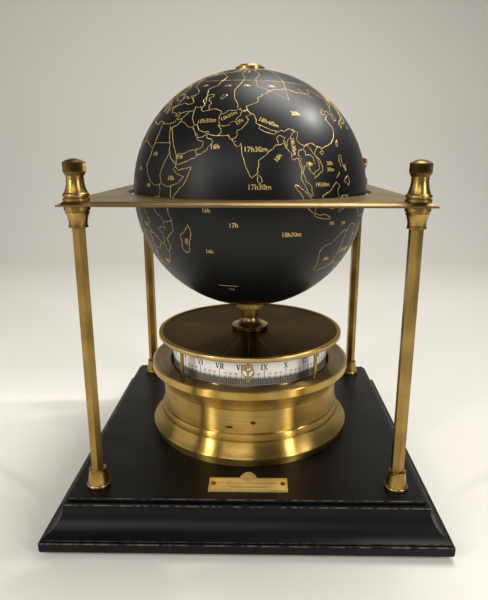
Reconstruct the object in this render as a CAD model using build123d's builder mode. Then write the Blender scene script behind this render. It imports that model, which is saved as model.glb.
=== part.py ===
from build123d import *
import os
from math import cos, radians, sin, sqrt

# World-time globe clock: a terrestrial globe and a 24-hour dial ring turn together once a day, above
# a turned brass drum on a moulded black base, inside a square brass horizon plate on four columns.
# Millimetres, +Z up, origin on the floor under the middle of the base, front towards -Y.

os.makedirs("parts", exist_ok=True)


def save(piece, label):
    """Label a finished piece and write its STEP file."""
    piece.part.label = label
    export_step(piece.part, f"parts/{label}.step")


# ---------------------------------------------------------------- driving dimensions
TOUCH = 0.2          # gap between faces that pass each other on different bodies
FIT = 0.05           # radial clearance of a running fit

FOOT_H = 2.5         # rubber feet
FOOT_R = 9.0
FOOT_AT = 92.0

BASE_W = 220.0       # plinth slab, full width
PLINTH_T = 6.3
COVE_W = 197.8       # width over the fascia at the top of the cove
COVE_FOOT_W = 217.4  # width where the cove runs out onto the slab
COVE_T = 16.4
COVE_R = 14.0        # radius of the hollow
FASCIA_H = 0.9
PANEL_W = 193.6      # top panel
PANEL_T = 2.1
BAY_R = 44.0         # round opening up into the drum
RECESS_R = 50.0      # wider recess below it, for the bottom cover and the setting knob
COVER_Z = 12.0       # bottom cover, underside
COVER_T = 2.0
COVER_SCREW_AT = 47.0
DRUM_SCREW_AT = 60.2
DRUM_SCREW_BORE_R = 1.6

PLINTH_Z = FOOT_H
COVE_Z = PLINTH_Z + PLINTH_T
PANEL_Z = COVE_Z + COVE_T
DECK_Z = PANEL_Z + PANEL_T

POST_AT = 83.4       # columns stand at plus and minus this in X and Y
ROD_R = 1.5          # tie rod through each column
ROD_BORE_R = 1.6
HEX_R = 3.64         # hexagonal column, over the corners
FERRULE_H = 10.7
FERRULE_SEAT = 2.0   # metal left under the column in its socket

PLATE_Z = 182.6      # horizon plate, underside
PLATE_T = 2.3
PLATE_W = 182.8      # full width at the lower edge
PLATE_TOP_W = 177.2  # width of the flat top
PLATE_HOLE_R = 75.5

FINIAL_H = 12.1
FINIAL_FOOT_R = 6.5
FINIAL_NECK_R = 4.25
KNOB_R = 5.45
KNOB_H = 6.7
KNOB_DOME = 1.4

DRUM_FOOT_R = 66.2
DRUM_R = 58.1
DRUM_BORE_R = 56.6
FLANGE_R = 65.5
FLANGE_BORE_R = 53.6
WALL_Z = DECK_Z + 18.5
FLANGE_Z = WALL_Z + 14.4
FLANGE_TOP = FLANGE_Z + 15.3
MOVEMENT_PLATE_T = 2.0
PLATE_SCREW_AT = 55.0

TOP_DISC_R = 60.8
TOP_DISC_Z = 91.4
TOP_DISC_T = 2.6
TOP_DISC_RIM = 0.5   # how far the rim bead stands above the face
TOP_DISC_RIM_W = 2.5
LINE_ANGLES = (-30, -15, 0, 15, 30)  # engraved hour lines at the front of the disc
LINE_FROM_R = 23.0
LINE_W = 0.3
LINE_DEPTH = 0.15
SPIGOT_BORE_R = 0.7  # for the pillars' spigots
PILLAR_R = 1.1
PILLAR_AT = 57.5

DIAL_R = 51.9
DIAL_T = 1.0
DIAL_Z = 70.0
DIAL_TOP = 90.8
CARRIER_Z = 70.4
CARRIER_T = 1.6

GLOBE_R = 72.2
GLOBE_T = 1.6
GLOBE_Z = 184.1
ARBOR_R = 2.0
AXLE_R = 4.0
COLLAR_R = 8.7
CAP_R = 8.85
CAP_TOP = 258.7
NECK_R = 5.5
NECK_TOP = 107.7

MODULE = 0.6         # clockwork train
WHEEL_TEETH = 72
REDUCTION_TEETH = 60
PINION_TEETH = 12
SETTING_TEETH = 24
WHEEL_Z = 67.0       # hour wheel plane
TRAIN_Z = 63.9       # reduction wheel plane
WHEEL_T = 1.8
PINION_T = 2.4

CORNERS = {
    "front_left": (-POST_AT, -POST_AT),
    "front_right": (POST_AT, -POST_AT),
    "back_left": (-POST_AT, POST_AT),
    "back_right": (POST_AT, POST_AT),
}
# each column stays at the angle at which it was screwed up tight
COLUMN_TWIST = {"front_left": 48.0, "front_right": 32.0, "back_left": 15.0, "back_right": 40.0}


# ---------------------------------------------------------------- shared shapes
def make_screw(head_r, head_h, shank_r, length):
    """A cheese-head screw pointing up, its head's upper face at z = 0, slotted underneath."""
    with BuildPart() as screw:
        with Locations((0, 0, -head_h)):
            Cylinder(head_r, head_h, align=(Align.CENTER, Align.CENTER, Align.MIN))
        Cylinder(shank_r, length, align=(Align.CENTER, Align.CENTER, Align.MIN))
        with Locations((0, 0, -head_h)):
            Box(2.2 * head_r, 0.25 * head_r, 0.8 * head_h, mode=Mode.SUBTRACT)
    return screw.part


def tooth_ring(teeth, phase):
    """Sketch a straight-flanked gear outline; the first tooth points at the phase angle."""
    pitch_r = MODULE * teeth / 2
    root_r = pitch_r - 0.95 * MODULE
    tip_r = pitch_r + 0.70 * MODULE
    half_root = 0.782 * MODULE
    half_tip = 0.272 * MODULE
    reach = tip_r - root_r
    sunk = 0.1
    Circle(root_r)
    with PolarLocations(root_r, teeth, start_angle=phase):
        Polygon(
            (-sunk, -half_root),
            (reach, -half_tip),
            (reach, half_tip),
            (-sunk, half_root),
            align=None,
        )


def square_section(half_profile):
    """Close a half outline, given from the middle of the underside outwards, into a full face."""
    with BuildSketch() as section:
        with BuildLine():
            half_profile()
            mirror(about=Plane.YZ)
        make_face()
    return section.sketch


# ---------------------------------------------------------------- base
with BuildPart() as foot:
    Cylinder(FOOT_R, FOOT_H, align=(Align.CENTER, Align.CENTER, Align.MIN))
    chamfer(foot.edges().filter_by(GeomType.CIRCLE).group_by(Axis.Z)[0], 0.5)

with BuildPart() as feet:
    with GridLocations(2 * FOOT_AT, 2 * FOOT_AT, 2, 2):
        add(foot.part)
save(feet, "feet")

NUT_POCKET_R = 5.5
SCREW_POCKET_R = 4.0
with BuildPart() as base_plinth:
    with BuildSketch(Plane.XY.offset(PLINTH_Z)):
        RectangleRounded(BASE_W, BASE_W, 1.2)
    extrude(amount=PLINTH_T)
    fillet(base_plinth.edges().group_by(Axis.Z)[0], 1.8)
    fillet(base_plinth.edges().group_by(Axis.Z)[-1], 1.0)
    with BuildSketch(Plane.XY.offset(PLINTH_Z)):
        Circle(RECESS_R)
        with GridLocations(2 * POST_AT, 2 * POST_AT, 2, 2):
            Circle(NUT_POCKET_R)
        with PolarLocations(DRUM_SCREW_AT, 4, start_angle=0):
            Circle(SCREW_POCKET_R)
    extrude(amount=PLINTH_T, mode=Mode.SUBTRACT)
save(base_plinth, "base_plinth")


def cove_half():
    """Quirk, hollow, fascia and nosing of the base moulding, from the middle outwards."""
    quirk = 0.5
    foot_x = COVE_FOOT_W / 2
    top_x = COVE_W / 2
    hollow_top = COVE_Z + COVE_T - FASCIA_H
    hollow_low = COVE_Z + quirk
    nose = 0.6
    Polyline(
        (0, COVE_Z),
        (foot_x - 1.0, COVE_Z),
        (foot_x - 1.0, COVE_Z + quirk),
        (foot_x, hollow_low),
        (foot_x, hollow_low + 0.6),
    )
    # the hollow is part of a circle that comes off the fascia upright
    RadiusArc((foot_x, hollow_low + 0.6), (top_x, hollow_top), COVE_R)
    Polyline(
        (top_x, hollow_top),
        (top_x + 0.35, hollow_top),
        (top_x + 0.35, PANEL_Z - nose),
        (top_x + 0.35 - nose, PANEL_Z),
        (0, PANEL_Z),
    )


cove_section = square_section(cove_half)
with BuildPart() as base_cove:
    # the same section run along X and along Y, so that the corners are mitred
    with BuildSketch(Plane.XZ):
        add(cove_section)
    extrude(amount=BASE_W / 2, both=True)
    with BuildSketch(Plane.YZ):
        add(cove_section)
    extrude(amount=BASE_W / 2, both=True, mode=Mode.INTERSECT)
    with BuildSketch(Plane.XY.offset(COVE_Z)):
        Circle(BAY_R)
        with GridLocations(2 * POST_AT, 2 * POST_AT, 2, 2):
            Circle(ROD_BORE_R)
        with PolarLocations(DRUM_SCREW_AT, 4, start_angle=0):
            Circle(DRUM_SCREW_BORE_R)
    extrude(amount=COVE_T, mode=Mode.SUBTRACT)
    with BuildSketch(Plane.XY.offset(COVE_Z)):
        Circle(RECESS_R)
    extrude(amount=COVER_Z + COVER_T - COVE_Z, mode=Mode.SUBTRACT)
    with BuildSketch(Plane.XY.offset(COVER_Z + COVER_T)):
        with PolarLocations(COVER_SCREW_AT, 4, start_angle=45):
            Circle(1.0)
    extrude(amount=8.0, mode=Mode.SUBTRACT)
save(base_cove, "base_cove")

SHADOW_LINE = 0.6    # shallow step under the panel's edge
with BuildPart() as base_top_panel:
    with BuildSketch(Plane.XY.offset(PANEL_Z)):
        RectangleRounded(PANEL_W - 1.4, PANEL_W - 1.4, 0.6)
    extrude(amount=SHADOW_LINE)
    with BuildSketch(Plane.XY.offset(PANEL_Z + SHADOW_LINE)):
        RectangleRounded(PANEL_W, PANEL_W, 0.8)
    extrude(amount=PANEL_T - SHADOW_LINE)
    fillet(base_top_panel.edges().group_by(Axis.Z)[-1], 0.5)
    with BuildSketch(Plane.XY.offset(PANEL_Z)):
        Circle(BAY_R)
        with GridLocations(2 * POST_AT, 2 * POST_AT, 2, 2):
            Circle(ROD_BORE_R)
        with PolarLocations(DRUM_SCREW_AT, 4, start_angle=0):
            Circle(DRUM_SCREW_BORE_R)
    extrude(amount=PANEL_T, mode=Mode.SUBTRACT)
save(base_top_panel, "base_top_panel")

# name plate: a blank brass label with a small arched top, held by two pins
LABEL_W = 44.0
LABEL_D = 12.5
LABEL_T = 0.8
LABEL_X = 0.7
LABEL_Y = -83.45
LABEL_BACK = LABEL_Y + LABEL_D / 2
LABEL_ARCH_R = 4.6
LABEL_CREST_R = 2.9
LABEL_PIN_X = 19.4   # from the middle of the label
LABEL_PIN_Y = -82.9
LABEL_PINS = [(LABEL_X - LABEL_PIN_X, LABEL_PIN_Y), (LABEL_X + LABEL_PIN_X, LABEL_PIN_Y)]
with BuildPart() as nameplate:
    with BuildSketch(Plane.XY.offset(DECK_Z)):
        with Locations((LABEL_X, LABEL_Y)):
            Rectangle(LABEL_W, LABEL_D)
        with Locations((LABEL_X, LABEL_BACK + 0.3)):
            Circle(LABEL_ARCH_R)
        with Locations((LABEL_X, LABEL_BACK + 3.1)):
            Circle(LABEL_CREST_R)
        with Locations(LABEL_PINS):
            Circle(0.7, mode=Mode.SUBTRACT)
    extrude(amount=LABEL_T)
save(nameplate, "nameplate")

with BuildPart() as nameplate_pins:
    with BuildSketch(Plane.XY.offset(DECK_Z)):
        with Locations(LABEL_PINS):
            Circle(0.7)
    extrude(amount=LABEL_T)
    with BuildSketch(Plane.XY.offset(DECK_Z + LABEL_T)):
        with Locations(LABEL_PINS):
            Circle(1.45)
    extrude(amount=0.6, taper=25)
save(nameplate_pins, "nameplate_pins")

# ---------------------------------------------------------------- columns and horizon plate
COLUMN_Z = DECK_Z + FERRULE_SEAT
COLUMN_TOP = PLATE_Z - FERRULE_SEAT

with BuildPart() as foot_sleeve:
    # turned sleeve: bead at the wide end, straight taper, small ring at the narrow end
    with BuildSketch(Plane.XZ):
        with BuildLine():
            Polyline((ROD_BORE_R, 0), (6.2, 0), (6.65, 0.45), (6.65, 1.0))
            RadiusArc((6.65, 1.0), (6.0, 2.2), -1.3)
            Polyline((6.0, 2.2), (4.55, FERRULE_H - 1.5), (4.75, FERRULE_H - 1.2))
            Polyline(
                (4.75, FERRULE_H - 1.2),
                (4.75, FERRULE_H - 0.3),
                (4.45, FERRULE_H),
                (ROD_BORE_R, FERRULE_H),
                (ROD_BORE_R, 0),
            )
        make_face()
    revolve(axis=Axis.Z)

with BuildPart() as plate_sleeve:
    # turned sleeve, drawn upside down: plain band under the plate, groove, tulip taper, small lip
    with BuildSketch(Plane.XZ):
        with BuildLine():
            Polyline((ROD_BORE_R, 0), (6.1, 0), (6.35, 0.3), (6.35, 2.1), (6.1, 2.4), (5.6, 2.5))
            Polyline((5.6, 2.5), (5.6, 2.9), (6.0, 3.1))
            RadiusArc((6.0, 3.1), (4.55, FERRULE_H - 1.3), 12.0)
            Polyline(
                (4.55, FERRULE_H - 1.3),
                (4.8, FERRULE_H - 1.0),
                (4.8, FERRULE_H - 0.3),
                (4.5, FERRULE_H),
                (ROD_BORE_R, FERRULE_H),
                (ROD_BORE_R, 0),
            )
        make_face()
    revolve(axis=Axis.Z)

for place, (x, y) in CORNERS.items():
    with BuildPart() as column:
        with BuildSketch(Plane((x, y, COLUMN_Z))):
            RegularPolygon(HEX_R, 6, rotation=COLUMN_TWIST[place])
            Circle(ROD_BORE_R, mode=Mode.SUBTRACT)
        extrude(amount=COLUMN_TOP - COLUMN_Z)
    save(column, f"column_{place}")

with BuildPart() as foot_ferrules:
    for x, y in CORNERS.values():
        with Locations((x, y, DECK_Z)):
            add(foot_sleeve.part)
    for place, (x, y) in CORNERS.items():
        with BuildSketch(Plane((x, y, COLUMN_Z))):
            RegularPolygon(HEX_R, 6, rotation=COLUMN_TWIST[place])
        extrude(amount=FERRULE_H, mode=Mode.SUBTRACT)
save(foot_ferrules, "foot_ferrules")

for place, (x, y) in CORNERS.items():
    with BuildPart() as plate_ferrule:
        with Locations(Location((x, y, PLATE_Z), (180, 0, 0))):
            add(plate_sleeve.part)
        with BuildSketch(Plane((x, y, COLUMN_TOP - FERRULE_H))):
            RegularPolygon(HEX_R, 6, rotation=COLUMN_TWIST[place])
        extrude(amount=FERRULE_H, mode=Mode.SUBTRACT)
    save(plate_ferrule, f"plate_ferrule_{place}")


def plate_half():
    """Moulded edge of the horizon plate: upright lip, small hollow, flat top."""
    lip = 0.8
    low_x = PLATE_W / 2
    top_x = PLATE_TOP_W / 2
    Polyline((0, PLATE_Z), (low_x, PLATE_Z), (low_x, PLATE_Z + lip))
    RadiusArc((low_x, PLATE_Z + lip), (top_x, PLATE_Z + PLATE_T), 4.0)
    Line((top_x, PLATE_Z + PLATE_T), (0, PLATE_Z + PLATE_T))


plate_section = square_section(plate_half)
with BuildPart() as horizon_plate:
    with BuildSketch(Plane.XZ):
        add(plate_section)
    extrude(amount=PLATE_W / 2, both=True)
    with BuildSketch(Plane.YZ):
        add(plate_section)
    extrude(amount=PLATE_W / 2, both=True, mode=Mode.INTERSECT)
    with BuildSketch(Plane.XY.offset(PLATE_Z)):
        Circle(PLATE_HOLE_R)
        with GridLocations(2 * POST_AT, 2 * POST_AT, 2, 2):
            Circle(ROD_BORE_R)
    extrude(amount=PLATE_T, mode=Mode.SUBTRACT)
save(horizon_plate, "horizon_plate")

FINIAL_Z = PLATE_Z + PLATE_T
CAP_BORE_H = 4.0
ROD_TOP = FINIAL_Z + FINIAL_H + CAP_BORE_H
for place, (x, y) in CORNERS.items():
    # bell-shaped finial: round base ring, groove, hollow sweep up to the neck
    with BuildPart() as finial:
        with BuildSketch(Plane((x, y, FINIAL_Z), x_dir=(1, 0, 0), z_dir=(0, -1, 0))):
            with BuildLine():
                Polyline((ROD_R, 0), (FINIAL_FOOT_R - 0.3, 0), (FINIAL_FOOT_R, 0.3))
                Polyline((FINIAL_FOOT_R, 0.3), (FINIAL_FOOT_R, 1.4), (5.8, 1.7), (5.8, 2.0), (6.4, 2.3))
                # rounded shoulder, then a hollow sweep that runs out upright at the neck
                RadiusArc((6.4, 2.3), (5.7, 4.0), -1.4)
                ThreePointArc((5.7, 4.0), (4.75, 6.6), (FINIAL_NECK_R, 10.2))
                Polyline((FINIAL_NECK_R, 10.2), (FINIAL_NECK_R, FINIAL_H), (ROD_R, FINIAL_H), (ROD_R, 0))
            make_face()
        revolve(axis=Axis((x, y, 0), (0, 0, 1)))
    save(finial, f"finial_{place}")

# the cap's low dome is part of a sphere centred on its axis
dome_r = ((KNOB_R - 0.4) ** 2 + KNOB_DOME ** 2) / (2 * KNOB_DOME)
with BuildPart() as cap_blank:
    with BuildSketch(Plane.XZ):
        with BuildLine():
            Polyline((0, CAP_BORE_H), (ROD_R, CAP_BORE_H), (ROD_R, 0), (KNOB_R - 1.0, 0), (KNOB_R, 1.8))
            Line((KNOB_R, 1.8), (KNOB_R, KNOB_H - 0.4))
            Line((KNOB_R, KNOB_H - 0.4), (KNOB_R - 0.4, KNOB_H))
            RadiusArc((KNOB_R - 0.4, KNOB_H), (0, KNOB_H + KNOB_DOME), -dome_r)
            Line((0, KNOB_H + KNOB_DOME), (0, CAP_BORE_H))
        make_face()
    revolve(axis=Axis.Z)

with BuildPart() as finial_caps:
    for x, y in CORNERS.values():
        with Locations((x, y, FINIAL_Z + FINIAL_H)):
            add(cap_blank.part)
save(finial_caps, "finial_caps")

NUT_H = 2.4
ROD_LOW = COVE_Z - NUT_H - 0.4
with BuildPart() as tie_rods:
    for x, y in CORNERS.values():
        with Locations((x, y, ROD_LOW)):
            Cylinder(ROD_R, ROD_TOP - ROD_LOW, align=(Align.CENTER, Align.CENTER, Align.MIN))
save(tie_rods, "tie_rods")

with BuildPart() as tie_rod_nuts:
    with BuildSketch(Plane.XY.offset(COVE_Z - NUT_H)):
        with GridLocations(2 * POST_AT, 2 * POST_AT, 2, 2):
            RegularPolygon(3.18, 6)
            Circle(ROD_R, mode=Mode.SUBTRACT)
    extrude(amount=NUT_H)
save(tie_rod_nuts, "tie_rod_nuts")

# ---------------------------------------------------------------- drum
with BuildPart() as drum_foot:
    with BuildSketch(Plane.XZ):
        with BuildLine():
            # edge drawn in below, hollow flare, dark quirk, rounded band, small cove up to the wall
            Polyline((54.0, DECK_Z), (DRUM_FOOT_R - 1.9, DECK_Z), (DRUM_FOOT_R, DECK_Z + 5.5))
            Line((DRUM_FOOT_R, DECK_Z + 5.5), (DRUM_FOOT_R - 0.5, DECK_Z + 6.1))
            RadiusArc((DRUM_FOOT_R - 0.5, DECK_Z + 6.1), (60.7, DECK_Z + 13.6), 16.0)
            Polyline((60.7, DECK_Z + 13.6), (59.7, DECK_Z + 13.7), (59.9, DECK_Z + 14.2))
            RadiusArc((59.9, DECK_Z + 14.2), (59.3, DECK_Z + 17.9), -9.0)
            RadiusArc((59.3, DECK_Z + 17.9), (DRUM_R, WALL_Z), 2.5)
            Polyline((DRUM_R, WALL_Z), (54.0, WALL_Z), (54.0, DECK_Z))
        make_face()
    revolve(axis=Axis.Z)
    with BuildSketch(Plane.XY.offset(DECK_Z)):
        with PolarLocations(DRUM_SCREW_AT, 4, start_angle=0):
            Circle(1.3)
    extrude(amount=8.0, mode=Mode.SUBTRACT)
save(drum_foot, "drum_foot")

with BuildPart() as drum_wall:
    with BuildSketch(Plane.XY.offset(WALL_Z)):
        Circle(DRUM_R)
        Circle(DRUM_BORE_R, mode=Mode.SUBTRACT)
    extrude(amount=FLANGE_Z - WALL_Z)
save(drum_wall, "drum_wall")

with BuildPart() as drum_flange:
    with BuildSketch(Plane.XZ):
        with BuildLine():
            # groove, hollow under the rim, upright rim with a bead, dished top in two steps
            Polyline(
                (DRUM_BORE_R, FLANGE_Z),
                (DRUM_R - 0.6, FLANGE_Z),
                (DRUM_R - 0.6, FLANGE_Z + 0.5),
                (DRUM_R + 0.9, FLANGE_Z + 0.8),
            )
            RadiusArc((DRUM_R + 0.9, FLANGE_Z + 0.8), (FLANGE_R - 0.8, FLANGE_Z + 9.8), 13.0)
            Polyline(
                (FLANGE_R - 0.8, FLANGE_Z + 9.8),
                (FLANGE_R, FLANGE_Z + 10.4),
                (FLANGE_R, FLANGE_TOP - 0.6),
            )
            RadiusArc((FLANGE_R, FLANGE_TOP - 0.6), (FLANGE_R - 1.2, FLANGE_TOP - 0.3), -0.9)
            Polyline(
                (FLANGE_R - 1.2, FLANGE_TOP - 0.3),
                (FLANGE_R - 1.6, FLANGE_TOP - 0.8),
                (60.6, FLANGE_TOP - 1.0),
                (60.2, FLANGE_TOP - 1.3),
                (FLANGE_BORE_R + 1.0, FLANGE_TOP - 1.3),
                (FLANGE_BORE_R + 0.8, FLANGE_TOP - 0.9),
                (FLANGE_BORE_R, FLANGE_TOP - 0.9),
                (FLANGE_BORE_R, FLANGE_Z + MOVEMENT_PLATE_T),
                (DRUM_BORE_R, FLANGE_Z + MOVEMENT_PLATE_T),
                (DRUM_BORE_R, FLANGE_Z),
            )
        make_face()
    revolve(axis=Axis.Z)
    with BuildSketch(Plane.XY.offset(FLANGE_Z + MOVEMENT_PLATE_T)):
        with PolarLocations(PLATE_SCREW_AT, 4, start_angle=0):
            Circle(0.8)
    extrude(amount=6.0, mode=Mode.SUBTRACT)
    with BuildSketch(Plane.XY.offset(FLANGE_TOP - 8.0)):
        with PolarLocations(PILLAR_AT, 4, start_angle=45):
            Circle(SPIGOT_BORE_R)
    extrude(amount=8.0, mode=Mode.SUBTRACT)
save(drum_flange, "drum_flange")

drum_screw = make_screw(2.8, 2.0, 1.3, DECK_Z - COVE_Z + 8.0)
with BuildPart() as drum_screws:
    with Locations((0, 0, COVE_Z)):
        with PolarLocations(DRUM_SCREW_AT, 4, start_angle=0):
            add(drum_screw)
save(drum_screws, "drum_screws")

PILLAR_Z = FLANGE_TOP - 1.3
with BuildPart() as pillars:
    # plain turned spacers, each with a spigot screwed down into the flange
    with BuildSketch(Plane.XY.offset(PILLAR_Z)):
        with PolarLocations(PILLAR_AT, 4, start_angle=45):
            Circle(PILLAR_R)
    extrude(amount=TOP_DISC_Z - PILLAR_Z)
    with BuildSketch(Plane.XY.offset(PILLAR_Z - 4.0)):
        with PolarLocations(PILLAR_AT, 4, start_angle=45):
            Circle(SPIGOT_BORE_R)
    extrude(amount=4.0)
    with BuildSketch(Plane.XY.offset(TOP_DISC_Z)):
        with PolarLocations(PILLAR_AT, 4, start_angle=45):
            Circle(SPIGOT_BORE_R)
    extrude(amount=1.6)
save(pillars, "pillars")

with BuildPart() as top_disc:
    with BuildSketch(Plane.XZ):
        with BuildLine():
            face_z = TOP_DISC_Z + TOP_DISC_T
            rim_z = face_z + TOP_DISC_RIM
            Polyline((5.0, TOP_DISC_Z), (TOP_DISC_R - 0.6, TOP_DISC_Z), (TOP_DISC_R, TOP_DISC_Z + 0.6))
            Line((TOP_DISC_R, TOP_DISC_Z + 0.6), (TOP_DISC_R, rim_z - 0.7))
            bead_x = TOP_DISC_R - TOP_DISC_RIM_W
            RadiusArc((TOP_DISC_R, rim_z - 0.7), (TOP_DISC_R - 1.4, rim_z), -1.0)
            Polyline((TOP_DISC_R - 1.4, rim_z), (bead_x + 0.3, rim_z), (bead_x, face_z), (5.0, face_z))
            Line((5.0, face_z), (5.0, TOP_DISC_Z))
        make_face()
    revolve(axis=Axis.Z)
    with BuildSketch(Plane.XY.offset(TOP_DISC_Z)):
        with PolarLocations(PILLAR_AT, 4, start_angle=45):
            Circle(SPIGOT_BORE_R)
    extrude(amount=1.6, mode=Mode.SUBTRACT)
    # engraved lines that fan out towards the front edge
    with BuildSketch(Plane.XY.offset(TOP_DISC_Z + TOP_DISC_T - LINE_DEPTH)):
        line_l = bead_x - 0.5 - LINE_FROM_R
        for angle in LINE_ANGLES:
            with PolarLocations(LINE_FROM_R + line_l / 2, 1, start_angle=angle - 90):
                Rectangle(line_l, LINE_W)
    extrude(amount=2 * LINE_DEPTH, mode=Mode.SUBTRACT)
save(top_disc, "top_disc")

# fixed hour pointer: a pierced ring with a three-armed centre and a tapered tip, hung at the front
POINTER_AT = 57.6
POINTER_T = 0.8
POINTER_Z = 85.0
POINTER_RING_R = 3.6
POINTER_TIP_W = 3.4
POINTER_TIP_Z = 77.1
POINTER_TAB_H = 4.0
with BuildPart() as pointer:
    with BuildSketch(Plane.XZ.offset(POINTER_AT)):
        with Locations((0, POINTER_Z)):
            Circle(POINTER_RING_R)
            Circle(POINTER_RING_R - 0.65, mode=Mode.SUBTRACT)
        with Locations((0, POINTER_Z)):
            with PolarLocations(POINTER_RING_R / 2 - 0.2, 3, start_angle=-90):
                Rectangle(POINTER_RING_R - 0.4, 0.7)
            Circle(0.8)
        with Locations((-1.9, POINTER_Z + 3.5), (1.9, POINTER_Z + 3.5)):
            Circle(1.1)
            Circle(0.5, mode=Mode.SUBTRACT)
        with Locations((0, TOP_DISC_Z - POINTER_TAB_H / 2)):
            Rectangle(1.9, POINTER_TAB_H)
        with BuildLine():
            tip_top = POINTER_Z - POINTER_RING_R + 0.3
            Polyline(
                (-POINTER_TIP_W / 2, tip_top),
                (0, POINTER_TIP_Z),
                (POINTER_TIP_W / 2, tip_top),
                (-POINTER_TIP_W / 2, tip_top),
            )
        make_face()
    extrude(amount=POINTER_T)
save(pointer, "pointer")

# ---------------------------------------------------------------- spindle pedestal
PEDESTAL_Z = TOP_DISC_Z + TOP_DISC_T
SPIGOT_R = 5.0
BUSH_R = 3.6
with BuildPart() as pedestal:
    with BuildSketch(Plane.XZ):
        with BuildLine():
            foot_top = PEDESTAL_Z + 2.7
            Polyline((BUSH_R - 1.0, TOP_DISC_Z - 4.0), (SPIGOT_R, TOP_DISC_Z - 4.0), (SPIGOT_R, PEDESTAL_Z))
            Polyline((SPIGOT_R, PEDESTAL_Z), (11.7, PEDESTAL_Z), (12.05, PEDESTAL_Z + 0.4))
            Line((12.05, PEDESTAL_Z + 0.4), (12.05, foot_top - 0.4))
            Polyline((12.05, foot_top - 0.4), (11.7, foot_top), (11.2, foot_top - 0.1))
            RadiusArc((11.2, foot_top - 0.1), (NECK_R, foot_top + 4.8), 6.5)
            Polyline((NECK_R, foot_top + 4.8), (NECK_R, NECK_TOP - 0.4), (NECK_R - 0.4, NECK_TOP))
            Polyline(
                (NECK_R - 0.4, NECK_TOP),
                (BUSH_R, NECK_TOP),
                (BUSH_R, NECK_TOP - 7.0),
                (BUSH_R - 1.0, NECK_TOP - 7.0),
                (BUSH_R - 1.0, TOP_DISC_Z - 4.0),
            )
        make_face()
    revolve(axis=Axis.Z)
save(pedestal, "pedestal")

with BuildPart() as pedestal_nut:
    with BuildSketch(Plane.XY.offset(TOP_DISC_Z - 3.0)):
        RegularPolygon(8.6, 6)
        Circle(SPIGOT_R, mode=Mode.SUBTRACT)
    extrude(amount=3.0)
save(pedestal_nut, "pedestal_nut")

with BuildPart() as upper_bush:
    with BuildSketch(Plane.XY.offset(NECK_TOP - 7.0)):
        Circle(BUSH_R)
        Circle(ARBOR_R + FIT, mode=Mode.SUBTRACT)
    extrude(amount=7.0)
save(upper_bush, "upper_bush")

# ---------------------------------------------------------------- turning arbor, dial and hour wheel
SHOULDER_R = 4.2
SHOULDER_Z = NECK_TOP + TOUCH
SHOULDER_T = 1.4
ARBOR_Z = FLANGE_Z + 0.4
ARBOR_TOP = 150.0
with BuildPart() as arbor:
    with Locations((0, 0, ARBOR_Z)):
        Cylinder(ARBOR_R, ARBOR_TOP - ARBOR_Z, align=(Align.CENTER, Align.CENTER, Align.MIN))
    with Locations((0, 0, SHOULDER_Z)):
        Cylinder(SHOULDER_R, SHOULDER_T, align=(Align.CENTER, Align.CENTER, Align.MIN))
    chamfer(arbor.edges().group_by(Axis.Z)[-1], 0.6)
save(arbor, "arbor")

HUB_R = 5.5
with BuildPart() as hour_wheel:
    with BuildSketch(Plane.XY.offset(WHEEL_Z)):
        tooth_ring(WHEEL_TEETH, 0)
        with PolarLocations(13.5, 5, start_angle=54):
            Circle(5.2, mode=Mode.SUBTRACT)
    extrude(amount=WHEEL_T)
    with BuildSketch(Plane.XY.offset(WHEEL_Z - 1.0)):
        Circle(HUB_R)
    extrude(amount=CARRIER_Z - WHEEL_Z + 1.0)
    with BuildSketch(Plane.XY.offset(WHEEL_Z - 1.0)):
        Circle(ARBOR_R)
    extrude(amount=CARRIER_Z - WHEEL_Z + 1.0, mode=Mode.SUBTRACT)
save(hour_wheel, "hour_wheel")

with BuildPart() as dial_carrier:
    # spun disc that carries the dial ring, with a turned-up edge and lightening holes
    with BuildSketch(Plane.XY.offset(CARRIER_Z)):
        Circle(DIAL_R - DIAL_T)
        Circle(ARBOR_R, mode=Mode.SUBTRACT)
        with PolarLocations(29.0, 6, start_angle=30):
            Circle(10.5, mode=Mode.SUBTRACT)
    extrude(amount=CARRIER_T)
    with BuildSketch(Plane.XY.offset(CARRIER_Z)):
        Circle(DIAL_R - DIAL_T)
        Circle(DIAL_R - DIAL_T - 1.2, mode=Mode.SUBTRACT)
    extrude(amount=6.0)
    with BuildSketch(Plane.XY.offset(CARRIER_Z + CARRIER_T)):
        Circle(HUB_R)
        Circle(ARBOR_R, mode=Mode.SUBTRACT)
    extrude(amount=5.0)
save(dial_carrier, "dial_carrier")

with BuildPart() as dial_ring:
    with BuildSketch(Plane.XY.offset(DIAL_Z)):
        Circle(DIAL_R)
        Circle(DIAL_R - DIAL_T, mode=Mode.SUBTRACT)
    extrude(amount=DIAL_TOP - DIAL_Z)
save(dial_ring, "dial_ring")

# ---------------------------------------------------------------- movement plate and its bushes
with BuildPart() as lower_bush:
    with BuildSketch(Plane.XY.offset(FLANGE_Z)):
        Circle(BUSH_R)
    extrude(amount=MOVEMENT_PLATE_T)
    with BuildSketch(Plane.XY.offset(FLANGE_Z + MOVEMENT_PLATE_T)):
        Circle(5.0)
    extrude(amount=1.6)
    with BuildSketch(Plane.XY.offset(FLANGE_Z + 0.2)):
        Circle(ARBOR_R + FIT)
    extrude(amount=MOVEMENT_PLATE_T + 1.6, mode=Mode.SUBTRACT)
save(lower_bush, "lower_bush")

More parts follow.
